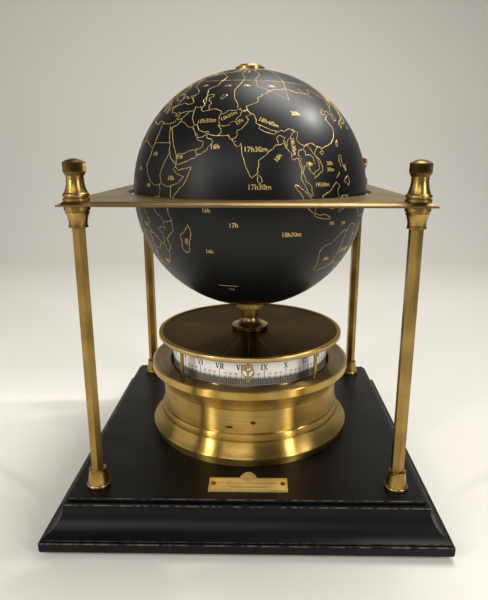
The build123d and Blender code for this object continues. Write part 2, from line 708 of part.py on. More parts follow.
# gear centres: the reduction wheel sits behind the arbor, the motor pinion beside it, and the
# hand-setting wheel on the other side of the hour wheel
HOUR_MESH = MODULE * (WHEEL_TEETH + PINION_TEETH) / 2
MOTOR_MESH = MODULE * (REDUCTION_TEETH + PINION_TEETH) / 2
SETTING_MESH = MODULE * (WHEEL_TEETH + SETTING_TEETH) / 2
MOTOR_ANGLE = -36.0
SETTING_ANGLE = 200.0
REDUCTION_AT = (0.0, HOUR_MESH)
MOTOR_AT = (
    REDUCTION_AT[0] + MOTOR_MESH * cos(radians(MOTOR_ANGLE)),
    REDUCTION_AT[1] + MOTOR_MESH * sin(radians(MOTOR_ANGLE)),
)
SETTING_AT = (
    SETTING_MESH * cos(radians(SETTING_ANGLE)),
    SETTING_MESH * sin(radians(SETTING_ANGLE)),
)
STUD_R = 1.2
SHAFT_R = 1.5

with BuildPart() as movement_plate:
    with BuildSketch(Plane.XY.offset(FLANGE_Z)):
        Circle(DRUM_BORE_R - 0.1)
        Circle(BUSH_R, mode=Mode.SUBTRACT)
        with PolarLocations(PLATE_SCREW_AT, 4, start_angle=0):
            Circle(0.8, mode=Mode.SUBTRACT)
        with Locations(MOTOR_AT):
            Circle(2.6, mode=Mode.SUBTRACT)
        with Locations(SETTING_AT):
            Circle(SHAFT_R + FIT, mode=Mode.SUBTRACT)
    extrude(amount=MOVEMENT_PLATE_T)
    # fixed stud on which the reduction wheel turns
    with BuildSketch(Plane.XY.offset(FLANGE_Z + MOVEMENT_PLATE_T)):
        with Locations(REDUCTION_AT):
            Circle(STUD_R)
    extrude(amount=WHEEL_Z + PINION_T - FLANGE_Z - MOVEMENT_PLATE_T)
save(movement_plate, "movement_plate")

plate_screw = make_screw(1.5, 1.2, 0.8, MOVEMENT_PLATE_T + 6.0)
with BuildPart() as plate_screws:
    with Locations((0, 0, FLANGE_Z)):
        with PolarLocations(PLATE_SCREW_AT, 4, start_angle=0):
            add(plate_screw)
save(plate_screws, "plate_screws")

# ---------------------------------------------------------------- gear train
PINION_PHASE = 270.0 + 360.0 / PINION_TEETH / 2
with BuildPart() as reduction_gear:
    with BuildSketch(Plane((*REDUCTION_AT, TRAIN_Z))):
        tooth_ring(REDUCTION_TEETH, 0)
    extrude(amount=WHEEL_T)
    with BuildSketch(Plane((*REDUCTION_AT, TRAIN_Z))):
        tooth_ring(PINION_TEETH, PINION_PHASE)
    extrude(amount=WHEEL_Z + PINION_T - TRAIN_Z)
    with BuildSketch(Plane((*REDUCTION_AT, TRAIN_Z))):
        Circle(STUD_R + FIT)
    extrude(amount=WHEEL_Z + PINION_T - TRAIN_Z, mode=Mode.SUBTRACT)
save(reduction_gear, "reduction_gear")

MOTOR_PHASE = 180.0 + MOTOR_ANGLE + 360.0 / PINION_TEETH / 2
MOTOR_SHAFT_Z = 50.0
with BuildPart() as motor_pinion:
    with BuildSketch(Plane((*MOTOR_AT, TRAIN_Z - 0.3))):
        tooth_ring(PINION_TEETH, MOTOR_PHASE)
    extrude(amount=PINION_T)
    with BuildSketch(Plane((*MOTOR_AT, MOTOR_SHAFT_Z))):
        Circle(1.0)
    extrude(amount=TRAIN_Z - MOTOR_SHAFT_Z)
save(motor_pinion, "motor_pinion")

SETTING_PHASE = SETTING_ANGLE - 180.0 + 360.0 / SETTING_TEETH / 2
KNOB_Z = 4.2
SET_KNOB_R = 8.0
SET_KNOB_H = 7.2
with BuildPart() as setting_wheel:
    with BuildSketch(Plane((*SETTING_AT, WHEEL_Z - 0.3))):
        tooth_ring(SETTING_TEETH, SETTING_PHASE)
    extrude(amount=PINION_T)
    with BuildSketch(Plane((*SETTING_AT, KNOB_Z + 2.0))):
        Circle(SHAFT_R)
    extrude(amount=WHEEL_Z - KNOB_Z - 2.0)
save(setting_wheel, "setting_wheel")

with BuildPart() as setting_knob:
    with BuildSketch(Plane((*SETTING_AT, KNOB_Z))):
        Circle(SET_KNOB_R)
        with PolarLocations(SET_KNOB_R + 0.5, 18):
            Circle(0.9, mode=Mode.SUBTRACT)
    extrude(amount=SET_KNOB_H)
    with BuildSketch(Plane((*SETTING_AT, KNOB_Z + 2.0))):
        Circle(SHAFT_R)
    extrude(amount=SET_KNOB_H, mode=Mode.SUBTRACT)
save(setting_knob, "setting_knob")

# ---------------------------------------------------------------- quartz movement and battery
CASE_W = 48.0
CASE_D = 48.0
CASE_AT = (10.0, 8.0)
CASE_TOP = FLANGE_Z
CASE_Z = 45.0
SKIN = 1.6
LID_T = 2.0
with BuildPart() as movement_case:
    with BuildSketch(Plane((*CASE_AT, CASE_Z + LID_T))):
        RectangleRounded(CASE_W, CASE_D, 3.0)
    extrude(amount=CASE_TOP - CASE_Z - LID_T)
    with BuildSketch(Plane((*CASE_AT, CASE_Z + LID_T))):
        RectangleRounded(CASE_W - 2 * SKIN, CASE_D - 2 * SKIN, 1.5)
    extrude(amount=CASE_TOP - CASE_Z - LID_T - SKIN, mode=Mode.SUBTRACT)
    with BuildSketch(Plane((*MOTOR_AT, CASE_Z + LID_T))):
        Circle(1.0 + FIT)
    extrude(amount=CASE_TOP - CASE_Z, mode=Mode.SUBTRACT)
save(movement_case, "movement_case")

CELL_R = 7.15
CELL_L = 50.0
CELL_Y = -4.0
HOLDER_Z = CASE_Z - 17.0
HOLDER_W = 61.0
HOLDER_D = 18.0
CELL_Z = HOLDER_Z + 0.6 + CELL_R
with BuildPart() as movement_lid:
    # underside of the movement, with the open-bottomed battery tray moulded onto it
    with BuildSketch(Plane((*CASE_AT, CASE_Z))):
        RectangleRounded(CASE_W, CASE_D, 3.0)
    extrude(amount=LID_T)
    with BuildSketch(Plane((0, CELL_Y, HOLDER_Z))):
        with Locations((CASE_AT[0], 0)):
            RectangleRounded(HOLDER_W, HOLDER_D, 2.0)
    extrude(amount=CASE_Z - HOLDER_Z)
    with BuildSketch(Plane((0, CELL_Y, HOLDER_Z))):
        with Locations((CASE_AT[0], 0)):
            Rectangle(HOLDER_W - 2 * SKIN, HOLDER_D - 2 * SKIN)
    extrude(amount=CASE_Z - HOLDER_Z - SKIN, mode=Mode.SUBTRACT)
save(movement_lid, "movement_lid")

with BuildPart() as battery:
    with BuildSketch(Plane((CASE_AT[0] - CELL_L / 2 + 0.4, CELL_Y, CELL_Z), z_dir=(1, 0, 0))):
        Circle(CELL_R)
    extrude(amount=CELL_L - 1.4)
    with BuildSketch(Plane((CASE_AT[0] + CELL_L / 2 - 1.0, CELL_Y, CELL_Z), z_dir=(1, 0, 0))):
        Circle(2.7)
    extrude(amount=1.4)
save(battery, "battery")

INNER_W = HOLDER_W - 2 * SKIN
with BuildPart() as battery_contacts:
    # flat positive leaf against one end wall, coiled negative spring as a stepped cone at the other
    with Locations((CASE_AT[0] + INNER_W / 2 - 0.3, CELL_Y, CELL_Z)):
        Box(0.6, 10.0, 10.0)
    with Locations((CASE_AT[0] + INNER_W / 2 - 1.75, CELL_Y, CELL_Z)):
        Box(2.3, 5.0, 5.0)
    with BuildSketch(Plane((CASE_AT[0] - INNER_W / 2, CELL_Y, CELL_Z), z_dir=(1, 0, 0))):
        Circle(5.0)
    extrude(amount=CASE_AT[0] - CELL_L / 2 + 0.4 - (CASE_AT[0] - INNER_W / 2), taper=15)
save(battery_contacts, "battery_contacts")

with BuildPart() as circuit_board:
    with Locations((CASE_AT[0] - 13.0, CASE_AT[1] - 9.0, CASE_Z + LID_T + 2.0)):
        Box(16.0, 22.0, 1.2)
    with Locations((CASE_AT[0] - 13.0, CASE_AT[1] - 12.0, CASE_Z + LID_T + 3.4)):
        Box(7.0, 7.0, 1.6)
    with BuildSketch(Plane((CASE_AT[0] - 18.0, CASE_AT[1] - 1.0, CASE_Z + LID_T + 2.6))):
        Circle(1.2)
    extrude(amount=6.0)
save(circuit_board, "circuit_board")

COIL_AT = (CASE_AT[0] + 8.0, CASE_AT[1] - 14.0)
with BuildPart() as motor_coil:
    # bobbin of copper wire between two cheeks, lying along X
    with BuildSketch(Plane((COIL_AT[0] - 9.0, COIL_AT[1], CASE_Z + LID_T + 6.0), z_dir=(1, 0, 0))):
        Circle(4.0)
    extrude(amount=1.0)
    with BuildSketch(Plane((COIL_AT[0] - 8.0, COIL_AT[1], CASE_Z + LID_T + 6.0), z_dir=(1, 0, 0))):
        Circle(3.2)
    extrude(amount=16.0)
    with BuildSketch(Plane((COIL_AT[0] + 8.0, COIL_AT[1], CASE_Z + LID_T + 6.0), z_dir=(1, 0, 0))):
        Circle(4.0)
    extrude(amount=1.0)
save(motor_coil, "motor_coil")

with BuildPart() as bottom_cover:
    with BuildSketch(Plane.XY.offset(COVER_Z)):
        Circle(RECESS_R - 0.4)
        with Locations(SETTING_AT):
            Circle(SHAFT_R + FIT, mode=Mode.SUBTRACT)
        with PolarLocations(COVER_SCREW_AT, 4, start_angle=45):
            Circle(1.0, mode=Mode.SUBTRACT)
    extrude(amount=COVER_T)
save(bottom_cover, "bottom_cover")

cover_screw = make_screw(1.9, 1.2, 1.0, COVER_T + 7.0)
with BuildPart() as cover_screws:
    with Locations((0, 0, COVER_Z)):
        with PolarLocations(COVER_SCREW_AT, 4, start_angle=45):
            add(cover_screw)
save(cover_screws, "cover_screws")

# ---------------------------------------------------------------- globe
AXLE_Z = SHOULDER_Z + SHOULDER_T + 1.0
with BuildPart() as globe_axle:
    with BuildSketch(Plane.XY.offset(AXLE_Z)):
        Circle(AXLE_R)
    extrude(amount=CAP_TOP - 1.2 - AXLE_Z)
    with BuildSketch(Plane.XY.offset(AXLE_Z)):
        Circle(ARBOR_R + FIT)
    extrude(amount=ARBOR_TOP + 1.0 - AXLE_Z, mode=Mode.SUBTRACT)
save(globe_axle, "globe_axle")

with BuildPart() as friction_washer:
    # spring washer between the arbor's shoulder and the globe's axle: it lets the globe be turned by hand
    with BuildSketch(Plane.XY.offset(AXLE_Z - 0.8)):
        Circle(AXLE_R)
        Circle(ARBOR_R + FIT, mode=Mode.SUBTRACT)
    extrude(amount=0.8)
save(friction_washer, "friction_washer")


def shell_face(sign):
    """Half of the hollow globe's section, on the side of the equator given by sign."""
    inner_r = GLOBE_R - GLOBE_T
    pole_out = sqrt(GLOBE_R ** 2 - AXLE_R ** 2)
    pole_in = sqrt(inner_r ** 2 - AXLE_R ** 2)
    diagonal = sqrt(0.5)
    with BuildSketch() as section:
        with BuildLine():
            Line((inner_r, GLOBE_Z), (GLOBE_R, GLOBE_Z))
            ThreePointArc(
                (GLOBE_R, GLOBE_Z),
                (GLOBE_R * diagonal, GLOBE_Z + sign * GLOBE_R * diagonal),
                (AXLE_R, GLOBE_Z + sign * pole_out),
            )
            Line((AXLE_R, GLOBE_Z + sign * pole_out), (AXLE_R, GLOBE_Z + sign * pole_in))
            ThreePointArc(
                (AXLE_R, GLOBE_Z + sign * pole_in),
                (inner_r * diagonal, GLOBE_Z + sign * inner_r * diagonal),
                (inner_r, GLOBE_Z),
            )
        make_face()
    return section.sketch


for label, sign in (("globe_north", 1), ("globe_south", -1)):
    shell_section = shell_face(sign)
    with BuildPart() as shell:
        with BuildSketch(Plane.XZ):
            add(shell_section)
        revolve(axis=Axis.Z)
    save(shell, label)

BAND_H = 9.0
with BuildPart() as globe_band:
    # joining band glued inside the two half shells at the equator
    with BuildSketch(Plane.XY.offset(GLOBE_Z - BAND_H / 2)):
        Circle(GLOBE_R - GLOBE_T - 0.25)
        Circle(GLOBE_R - GLOBE_T - 1.6, mode=Mode.SUBTRACT)
    extrude(amount=BAND_H)
save(globe_band, "globe_band")

with BuildPart() as globe_collar:
    # turned collar that carries the lower shell; its upper face is hollowed to the globe's curve
    with BuildSketch(Plane.XZ):
        with BuildLine():
            collar_z = NECK_TOP + TOUCH
            rim_r = SHOULDER_R + 0.3
            seat = GLOBE_Z - sqrt(GLOBE_R ** 2 - COLLAR_R ** 2)
            bore_seat = GLOBE_Z - sqrt(GLOBE_R ** 2 - AXLE_R ** 2)
            Polyline(
                (rim_r, collar_z),
                (COLLAR_R - 0.5, collar_z),
                (COLLAR_R, collar_z + 0.5),
                (COLLAR_R, seat),
            )
            RadiusArc((COLLAR_R, seat), (AXLE_R, bore_seat), GLOBE_R)
            Polyline((AXLE_R, bore_seat), (AXLE_R, AXLE_Z), (rim_r, AXLE_Z), (rim_r, collar_z))
        make_face()
    revolve(axis=Axis.Z)
save(globe_collar, "globe_collar")

with BuildPart() as globe_cap:
    # turned cap nut on the axle's upper end, hollowed below to the globe's curve
    with BuildSketch(Plane.XZ):
        with BuildLine():
            seat = GLOBE_Z + sqrt(GLOBE_R ** 2 - CAP_R ** 2)
            bore_seat = GLOBE_Z + sqrt(GLOBE_R ** 2 - AXLE_R ** 2)
            axle_top = CAP_TOP - 1.2
            Polyline((0, CAP_TOP), (6.2, CAP_TOP), (6.7, CAP_TOP - 0.3), (7.6, CAP_TOP - 1.0))
            Polyline((7.6, CAP_TOP - 1.0), (CAP_R, CAP_TOP - 1.5), (CAP_R, seat))
            RadiusArc((CAP_R, seat), (AXLE_R, bore_seat), -GLOBE_R)
            Polyline((AXLE_R, bore_seat), (AXLE_R, axle_top), (0, axle_top), (0, CAP_TOP))
        make_face()
    revolve(axis=Axis.Z)
save(globe_cap, "globe_cap")
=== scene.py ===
import math

import bmesh
import bpy
from mathutils import Matrix, Vector, noise


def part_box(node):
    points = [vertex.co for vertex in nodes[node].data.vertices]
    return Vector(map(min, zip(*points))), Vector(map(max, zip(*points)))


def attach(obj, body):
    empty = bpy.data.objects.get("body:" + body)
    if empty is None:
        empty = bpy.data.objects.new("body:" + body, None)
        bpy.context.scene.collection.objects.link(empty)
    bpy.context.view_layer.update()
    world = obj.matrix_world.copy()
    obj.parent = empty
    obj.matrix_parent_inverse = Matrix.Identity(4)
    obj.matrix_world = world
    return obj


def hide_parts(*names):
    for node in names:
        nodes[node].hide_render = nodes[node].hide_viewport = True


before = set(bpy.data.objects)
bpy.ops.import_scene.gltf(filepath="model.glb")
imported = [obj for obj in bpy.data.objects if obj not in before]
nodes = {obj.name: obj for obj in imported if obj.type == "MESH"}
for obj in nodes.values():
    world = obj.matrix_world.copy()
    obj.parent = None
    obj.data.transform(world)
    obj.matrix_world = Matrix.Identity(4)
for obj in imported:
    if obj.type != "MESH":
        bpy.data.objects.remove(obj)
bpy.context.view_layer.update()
MM = 0.001
noise.seed_set(11)          # the wander of the coasts is the same in every run
CORNERS = ("front_left", "front_right", "back_left", "back_right")


# ================================================================ sizes, from the frame, in metres
def node_top(name):
    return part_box(name)[1].z


def node_low(name):
    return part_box(name)[0].z


def node_half_width(name):
    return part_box(name)[1].x


GLOBE_R = node_half_width("globe_north")
GLOBE_Z = node_low("globe_north")
DIAL_R = node_half_width("dial_ring")
DIAL_TOP = node_top("dial_ring")
DISC_FACE = node_low("top_disc") + 2.6 * MM     # the flat face inside the rim bead
FRONT_LONGITUDE = 75.3                          # degrees east, turned to the front
KNOB_R = 5.45 * MM                              # knurled caps
CAPITALS = 0.72                                 # height of a capital, as a share of the font's size


# ================================================================ shared helpers
def linear(hex_colour):
    """sRGB hex value to the linear RGBA that a shader socket takes."""
    channels = [int(hex_colour[i:i + 2], 16) / 255 for i in (1, 3, 5)]
    flat = [c / 12.92 if c <= 0.04045 else ((c + 0.055) / 1.055) ** 2.4 for c in channels]
    return (*flat, 1.0)


def add_node(tree, kind, inputs=None, output=0, **settings):
    """Add a shader node and return one of its outputs.

    An input is a number, a vector, a hex colour or another node's output, which is linked.
    """
    made = tree.nodes.new("ShaderNode" + kind)
    for key, value in settings.items():
        setattr(made, key, value)
    for key, value in (inputs or {}).items():
        if isinstance(value, bpy.types.NodeSocket):
            tree.links.new(value, made.inputs[key])
        else:
            made.inputs[key].default_value = linear(value) if isinstance(value, str) else value
    return made.outputs[output] if made.outputs else None


def link_object(name, data):
    thing = bpy.data.objects.new(name, data)
    bpy.context.scene.collection.objects.link(thing)
    return thing


def mesh_object(name, made, material):
    """Turn a finished bmesh into an object at the origin."""
    mesh = bpy.data.meshes.new(name)
    made.to_mesh(mesh)
    made.free()
    mesh.materials.append(material)
    return link_object(name, mesh)


def add_to(whole, part):
    """Move every face of one bmesh into another."""
    mesh = bpy.data.meshes.new("part")
    part.to_mesh(mesh)
    part.free()
    whole.from_mesh(mesh)
    bpy.data.meshes.remove(mesh)


def mesh_of_curve(data):
    """The mesh that a curve or a text makes; the curve object is removed."""
    curve = link_object("curve", data)
    mesh = bpy.data.meshes.new_from_object(curve)
    bpy.data.objects.remove(curve)
    return mesh


# ================================================================ camera, floor and lights
def make_camera():
    """A view from the front, a little above the horizon plate, tipped down."""
    place = Vector((6.59, -354.56, 207.64)) * MM
    yaw, pitch, roll = (math.radians(a) for a in (0.708, -14.967, -0.164))
    turn = (
        Matrix.Rotation(yaw, 4, "Z")
        @ Matrix.Rotation(pitch, 4, "X")
        @ Matrix.Rotation(roll, 4, "Y")
        @ Matrix.Rotation(math.pi / 2, 4, "X")
    )
    data = bpy.data.cameras.new("camera")
    data.sensor_width = 36.0
    data.lens = 32.95
    data.shift_x = -0.0154
    data.clip_start = 0.01
    camera = link_object("camera", data)
    camera.matrix_world = Matrix.Translation(place) @ turn
    bpy.context.scene.camera = camera


def area_light(name, place, target, size, power, colour, spread=180):
    """A rectangular lamp that faces a point; sizes in metres, power in watts, spread in degrees."""
    data = bpy.data.lights.new(name, "AREA")
    data.shape = "RECTANGLE"
    data.size, data.size_y = size
    data.energy = power
    data.spread = math.radians(spread)
    data.color = linear(colour)[:3]
    lamp = link_object(name, data)
    lamp.location = place
    lamp.rotation_euler = (Vector(target) - Vector(place)).to_track_quat("-Z", "Y").to_euler()


def make_lights():
    """Soft room light: a wide lamp overhead, a tall narrow strip on each side and weak fills."""
    world = bpy.data.worlds.new("studio")
    world.use_nodes = True
    tree = world.node_tree
    tree.nodes.clear()
    fill = add_node(tree, "Background", {"Color": "#b4bdc6", "Strength": 0.18})
    backdrop = add_node(tree, "Background", {"Color": "#c6c2b9", "Strength": 1.0})
    seen = add_node(tree, "LightPath", output="Is Camera Ray")
    mixed = add_node(tree, "MixShader", {0: seen, 1: fill, 2: backdrop})
    add_node(tree, "OutputWorld", {"Surface": mixed})
    bpy.context.scene.world = world
    bpy.context.scene.view_settings.view_transform = "Standard"
    globe, drum = (0, 0, 0.19), (0, 0, 0.10)
    area_light("overhead", (0.25, 0.25, 1.15), (0, 0, 0.13), (0.70, 0.50), 6.0, "#fffdf8", 140)
    # the soft spot at the globe's upper right
    area_light("lamp_right", (0.65, 0.14, 0.97), globe, (0.06, 0.06), 0.09, "#fffdf8", 16)
    # the two bright streaks on the turned drum
    area_light("strip_right", (0.755, -0.656, 0.50), drum, (0.035, 0.60), 4.2, "#fffcf6")
    area_light("strip_left", (-0.731, -0.682, 0.50), drum, (0.03, 0.60), 3.9, "#fffaf2")
    area_light("side_left", (-1.15, -0.25, 0.40), (0, 0, 0.08), (0.90, 0.70), 1.6, "#fffaf2")
    area_light("front_fill", (-0.25, -1.05, 0.75), (0, -0.20, 0), (0.75, 0.40), 1.5, "#fffcf6", 120)


def make_floor():
    """A pale seamless sweep: a level floor that curves up into a wall well behind the object."""
    half_width, front = 2.2, -1.6
    wall_y, wall_high = 1.05, 1.4
    sweep_r = 0.35
    made = bmesh.new()
    corner = made.verts.new((-half_width, front, 0))
    far = made.verts.new((-half_width, wall_y - sweep_r, 0))
    made.edges.new((corner, far))
    swept = bmesh.ops.spin(
        made, geom=[far], cent=(0, wall_y - sweep_r, sweep_r), axis=(1, 0, 0),
        angle=math.pi / 2, steps=24,
    )
    last = [v for v in swept["geom_last"] if isinstance(v, bmesh.types.BMVert)]
    raised = bmesh.ops.extrude_vert_indiv(made, verts=last)
    bmesh.ops.translate(made, verts=raised["verts"], vec=(0, 0, wall_high))
    sides = bmesh.ops.extrude_edge_only(made, edges=made.edges[:])
    moved = [v for v in sides["geom"] if isinstance(v, bmesh.types.BMVert)]
    bmesh.ops.translate(made, verts=moved, vec=(2 * half_width, 0, 0))
    bmesh.ops.recalc_face_normals(made, faces=made.faces[:])
    paper, _, _ = new_material("paper_sweep")
    finish(paper, {"Base Color": "#efece5", "Roughness": 0.9})
    floor = mesh_object("studio_floor", made, paper)
    for face in floor.data.polygons:
        face.use_smooth = True


# ================================================================ patterns for the finishes
def new_material(name):
    material = bpy.data.materials.new(name)
    material.use_nodes = True
    tree = material.node_tree
    tree.nodes.clear()
    return material, tree, add_node(tree, "TexCoord", output="Object")


def finish(material, surface):
    """Give the material one surface with these inputs."""
    tree = material.node_tree
    add_node(tree, "OutputMaterial", {"Surface": add_node(tree, "BsdfPrincipled", surface)})
    return material


def speckle(tree, coords, size_mm, detail, stretch=(1, 1, 1)):
    """Noise with a grain about size_mm across; a stretch below 1 makes it longer along that axis."""
    mapped = add_node(tree, "Mapping", {"Vector": coords, "Scale": stretch})
    scale = 1 / (size_mm * MM)
    return add_node(tree, "TexNoise", {"Vector": mapped, "Scale": scale, "Detail": detail})


def two_tone(tree, value, low, high, first, second, share=1.0):
    """The first colour where value is at low and the second, by its share, where it is at high."""
    mask = add_node(tree, "MapRange", {0: value, 1: low, 2: high, 4: share})
    return add_node(tree, "Mix", {0: mask, 6: first, 7: second}, output=2, data_type="RGBA")


def axis_radius(tree, coords):
    """Distance from the vertical axis of the clock."""
    flat = add_node(tree, "VectorMath", {0: coords, 1: (1, 1, 0)}, operation="MULTIPLY")
    return add_node(tree, "VectorMath", {0: flat}, output="Value", operation="LENGTH")


def turned_coords(tree, coords):
    """Coordinates (radius, 0, height): a pattern on them runs in rings, as on a lathe."""
    height = add_node(tree, "SeparateXYZ", {0: coords}, output="Z")
    return add_node(tree, "CombineXYZ", {"X": axis_radius(tree, coords), "Z": height})


# ================================================================ brass finishes
def brass(name, clean, aged, roughness, grain_mm, cloud_mm=20.0, stretch=(1, 1, 1),
          anisotropy=0.0, uneven=0.10, marks=None, surface=None):
    """Brass that has kept its lacquer in some places and browned in others.

    Marks takes the tree, the coordinates and the colour and returns the colour with marks on it.
    """
    grain_share, grain_depth = 0.3, 0.01 * MM
    material, tree, coords = new_material(name)
    cloud = speckle(tree, coords, cloud_mm, 5.0)
    along = turned_coords(tree, coords) if anisotropy else coords
    grain = speckle(tree, along, grain_mm, 2.0, stretch)
    tone = add_node(tree, "Mix", {0: grain_share, 2: cloud, 3: grain})
    colour = two_tone(tree, tone, 0.36, 0.62, aged, clean)
    if marks:
        colour = marks(tree, coords, colour)
    rough, smooth = roughness + uneven / 2, roughness - uneven / 2
    inputs = {
        "Base Color": colour,
        "Metallic": 1.0,
        "Roughness": add_node(tree, "MapRange", {0: tone, 1: 0.3, 2: 0.7, 3: rough, 4: smooth}),
        "Normal": add_node(
            tree, "Bump", {"Height": grain, "Distance": grain_depth, "Strength": 0.6}
        ),
    }
    if anisotropy:
        # the fine rings of a lathe spread a reflection up and down, across the marks
        inputs["Anisotropic"] = anisotropy
        inputs["Anisotropic Rotation"] = 0.25
        inputs["Tangent"] = add_node(tree, "Tangent", direction_type="RADIAL", axis="Z")
    return finish(material, {**inputs, **(surface or {})})


def drum_stains(tree, coords, colour):
    """Ragged brown stains: two low on the front of the drum's wall and one on its foot."""
    ragged, ragged_grain = 2.2 * MM, 1.2 * MM
    noise_colour = add_node(
        tree, "TexNoise", {"Vector": coords, "Scale": 1 / ragged_grain}, output="Color"
    )
    shifted = add_node(
        tree, "VectorMath", {0: noise_colour, 1: [ragged] * 3, 2: coords}, operation="MULTIPLY_ADD"
    )
    # middle in mm, stretch (below 1 is longer along that axis), radius in mm
    for place_mm, stretch, size_mm in (
        ((3.2, -58.9, 52.6), (1.0, 0.4, 1.4), 2.0),
        ((-11.6, -57.8, 49.2), (0.45, 0.4, 1.5), 1.4),
        ((26.0, -61.5, 36.5), (1.6, 0.4, 0.8), 1.0),
    ):
        middle = [value * MM + ragged / 2 for value in place_mm]
        away = add_node(tree, "VectorMath", {0: shifted, 1: middle}, operation="SUBTRACT")
        scaled = add_node(tree, "VectorMath", {0: away, 1: stretch}, operation="MULTIPLY")
        far = add_node(tree, "VectorMath", {0: scaled}, output="Value", operation="LENGTH")
        size = size_mm * MM
        colour = two_tone(tree, far, size, 0.6 * size, colour, "#4e3717")
    return colour


def flange_dish(tree, coords, colour):
    """Painted shade: the dished top of the flange, under the disc, is painted brown with lathe rings.
    """
    dish_r, soft, top = 64.0 * MM, 0.4 * MM, node_top("drum_flange")
    height = add_node(tree, "SeparateXYZ", {0: coords}, output="Z")
    rings = speckle(tree, turned_coords(tree, coords), 1.6, 2.0, (1, 1, 0))
    # painted shade: brown rings, darker in the dish under the disc
    browned = two_tone(tree, rings, 0.35, 0.65, "#6e5a38", "#8d7549")
    radius = axis_radius(tree, coords)
    inside = two_tone(tree, radius, dish_r + soft, dish_r - soft, colour, browned)
    return two_tone(tree, height, top - 2.4 * MM, top - 1.8 * MM, colour, inside)


def disc_marks(tree, coords, colour):
    """A rim bead in lighter brass, and engraved lines below the dark painted face in pale brass:
    partly bare metal, partly painted light against the shade in the narrow slots.
    """
    bead_r, deep, below_face = 58.2 * MM, DISC_FACE - 0.5 * MM, DISC_FACE - 0.05 * MM
    height = add_node(tree, "SeparateXYZ", {0: coords}, output="Z")
    radius = axis_radius(tree, coords)
    colour = two_tone(tree, radius, bead_r, bead_r + 0.3 * MM, colour, "#b89a5a")
    # painted light: the floors of the engraved lines are pale cream, lighter than bare brass, to
    # stand against the shade in the narrow slots
    cut = two_tone(tree, height, below_face, below_face - 0.07 * MM, colour, "#e6d8ae")
    return two_tone(tree, height, deep, deep + 0.2 * MM, colour, cut)


def label_spots(tree, coords, colour):
    """Dark specks where the label's lacquer has gone."""
    return two_tone(tree, speckle(tree, coords, 1.6, 4.0), 0.68, 0.74, colour, "#5a4420")


def turned_brass(name, marks):
    """Lathe-turned and lacquered brass: rings of tool marks, warm gold, with marks of its own."""
    return brass(name, "#d2b064", "#b49046", roughness=0.31, grain_mm=0.9, cloud_mm=16.0,
                 anisotropy=1.0, uneven=0.04, marks=marks)


def disc_brass():
    """Brass disc with a dark brown colour that is painted shade on its face, and circular polishing
    marks.
    """
    # painted shade: the dark brown base colours paint the shade on the disc's face into the brass
    return brass("shade_painted_disc_brass", "#372b1a", "#2a2014", roughness=0.34, grain_mm=0.7,
                 cloud_mm=24.0, anisotropy=0.6, marks=disc_marks,
                 surface={"Specular Tint": "#dad2c2"})


def plate_brass():
    """Rolled brass plate, emery-finished along its length, dulled to a greenish tan."""
    return brass("emery_finished_plate", "#90794f", "#74603c", roughness=0.40, grain_mm=0.5,
                 cloud_mm=30.0, stretch=(0.03, 1, 1))


def column_brass():
    """Drawn hexagonal brass bar: lines along its length, gold, and brown where handled."""
    return brass("drawn_bar_brass", "#9f844b", "#7c6334", roughness=0.30, grain_mm=0.6,
                 cloud_mm=18.0, stretch=(1, 1, 0.04))


def fitting_brass():
    """Small turned fittings, browned by handling."""
    return brass("turned_fitting_brass", "#b39555", "#856738", roughness=0.30, grain_mm=0.5,
                 cloud_mm=9.0, stretch=(0.2, 0.2, 1))


def dark_fitting_brass():
    """Caps and pins of brass browned almost to chocolate."""
    return brass("browned_brass", "#776036", "#4e3c22", roughness=0.36, grain_mm=0.4, cloud_mm=5.0)


def label_brass():
    """Engraving brass sheet, bright, with a fine grain along its length and a few dark spots."""
    return brass("engraving_sheet_brass", "#efd68c", "#d4b56a", roughness=0.42, grain_mm=0.4,
                 cloud_mm=9.0, stretch=(0.05, 1, 1), marks=label_spots, surface={"Metallic": 0.55})


def gear_brass():
    """Clock-plate brass as cut, bright yellow and matt from the cutter."""
    return brass("cut_clock_brass", "#dcbc6c", "#b8944a", roughness=0.35, grain_mm=0.5,
                 cloud_mm=14.0)


def bronze():
    """Sintered bronze bush, reddish with open pores."""
    return brass("sintered_bronze", "#a8703c", "#7c4c26", roughness=0.5, grain_mm=0.3)


def light_metal(name, hex_colour, roughness):
    """Machined steel or aluminium: grey, with fine tool marks."""
    return brass(name, hex_colour, "#6d6f72", roughness, grain_mm=0.4, stretch=(0.2, 0.2, 1))


def copper():
    """Enamelled copper winding wire; its lie shows as close ridges around the bobbin."""
    material, tree, coords = new_material("enamelled_copper_wire")
    wire, bands_per_scale = 0.9 * MM, 20
    waves = add_node(
        tree, "TexWave",
        {"Vector": coords, "Scale": 1 / wire / bands_per_scale, "Distortion": 0.6},
        output="Fac", bands_direction="X",
    )
    return finish(material, {
        # painted shade: the colour darkens in the grooves between turns and brightens on the ridges,
        # following the same bands as the bump
        "Base Color": two_tone(tree, waves, 0.0, 1.0, "#6e3018", "#c9703c"),
        "Metallic": 1.0,
        "Roughness": 0.28,
        "Coat Weight": 0.6,
        "Normal": add_node(tree, "Bump", {"Height": waves, "Distance": 0.15 * MM}),
    })


